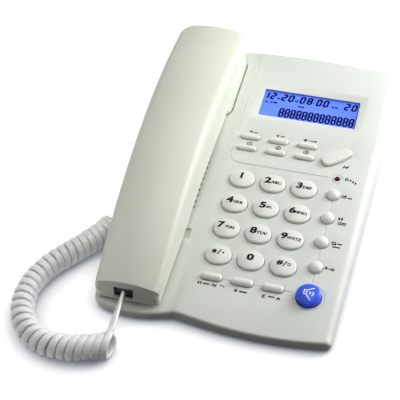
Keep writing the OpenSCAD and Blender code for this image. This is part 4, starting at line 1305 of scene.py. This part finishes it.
# What gives light back: dark under and before the base, pale where the coil lies
spot = nodes.new("ShaderNodeTexCoord")
spot_x = nodes.new("ShaderNodeSeparateXYZ")
spot_left = nodes.new("ShaderNodeMapRange")
spot_left.interpolation_type = "SMOOTHSTEP"
for socket, value in (("From Min", -0.058), ("From Max", -0.074), ("To Min", 0.05),
                      ("To Max", 0.95)):
    spot_left.inputs[socket].default_value = value
top_lit = nodes.new("ShaderNodeBsdfDiffuse")
links.new(spot.outputs["Object"], spot_x.inputs[0])
links.new(spot_x.outputs["X"], spot_left.inputs["Value"])
links.new(spot_left.outputs["Result"], top_lit.inputs["Color"])
table_mix = seen_or_lit(nodes, links, top_seen, top_lit)
links.new(table_mix.outputs[0], nodes["Material Output"].inputs["Surface"])
table_half = 4
table = mesh_piece("table_top", [(x * table_half, y * table_half, 0) for x, y in
                                 ((-1, -1), (1, -1), (1, 1), (-1, 1))], [(0, 1, 2, 3)], table_white)

world = bpy.data.worlds.new("surround")
world.use_nodes = True
bpy.context.scene.world = world
nodes, links = world.node_tree.nodes, world.node_tree.links
nodes.remove(nodes["Background"])
white_seen = nodes.new("ShaderNodeBackground")
white_seen.inputs["Color"].default_value = (1, 1, 1, 1)
soft_fill = nodes.new("ShaderNodeBackground")
way_out = nodes.new("ShaderNodeTexCoord")
height = nodes.new("ShaderNodeSeparateXYZ")
links.new(way_out.outputs["Generated"], height.inputs[0])
sky = ramp(nodes, links, height.outputs["Z"], 0.05, (0.012, 0.013, 0.014, 1),
           0.9, (0.24, 0.243, 0.25, 1))
links.new(sky, soft_fill.inputs["Color"])
world_mix = seen_or_lit(nodes, links, white_seen, soft_fill)
links.new(world_mix.outputs[0], nodes["World Output"].inputs["Surface"])


def soft_lamp(name, place, aim, size, power, tint):
    lamp = bpy.data.lights.new(name, "AREA")
    lamp.color = tint
    lamp.shape = "DISK"
    lamp.size = size
    lamp.energy = power
    holder = bpy.data.objects.new(name, lamp)
    holder.location = place
    holder.rotation_euler = (Vector(aim) - Vector(place)).to_track_quat("-Z", "Y").to_euler()
    bpy.context.scene.collection.objects.link(holder)


soft_lamp("lamp_right", (0.33, 0.18, 0.22), (0, 0, 0.03), 0.30, 2.05, (0.98, 0.965, 1))
soft_lamp("lamp_above", (0.05, 0.10, 0.75), (0, 0, 0.03), 0.50, 1.92, (1, 1, 1))
soft_lamp("lamp_left", (-0.25, -0.11, 0.20), (-0.09, -0.11, 0.01), 0.16, 0.10, (1, 1, 0.97))
bpy.context.scene.view_settings.view_transform = "Standard"
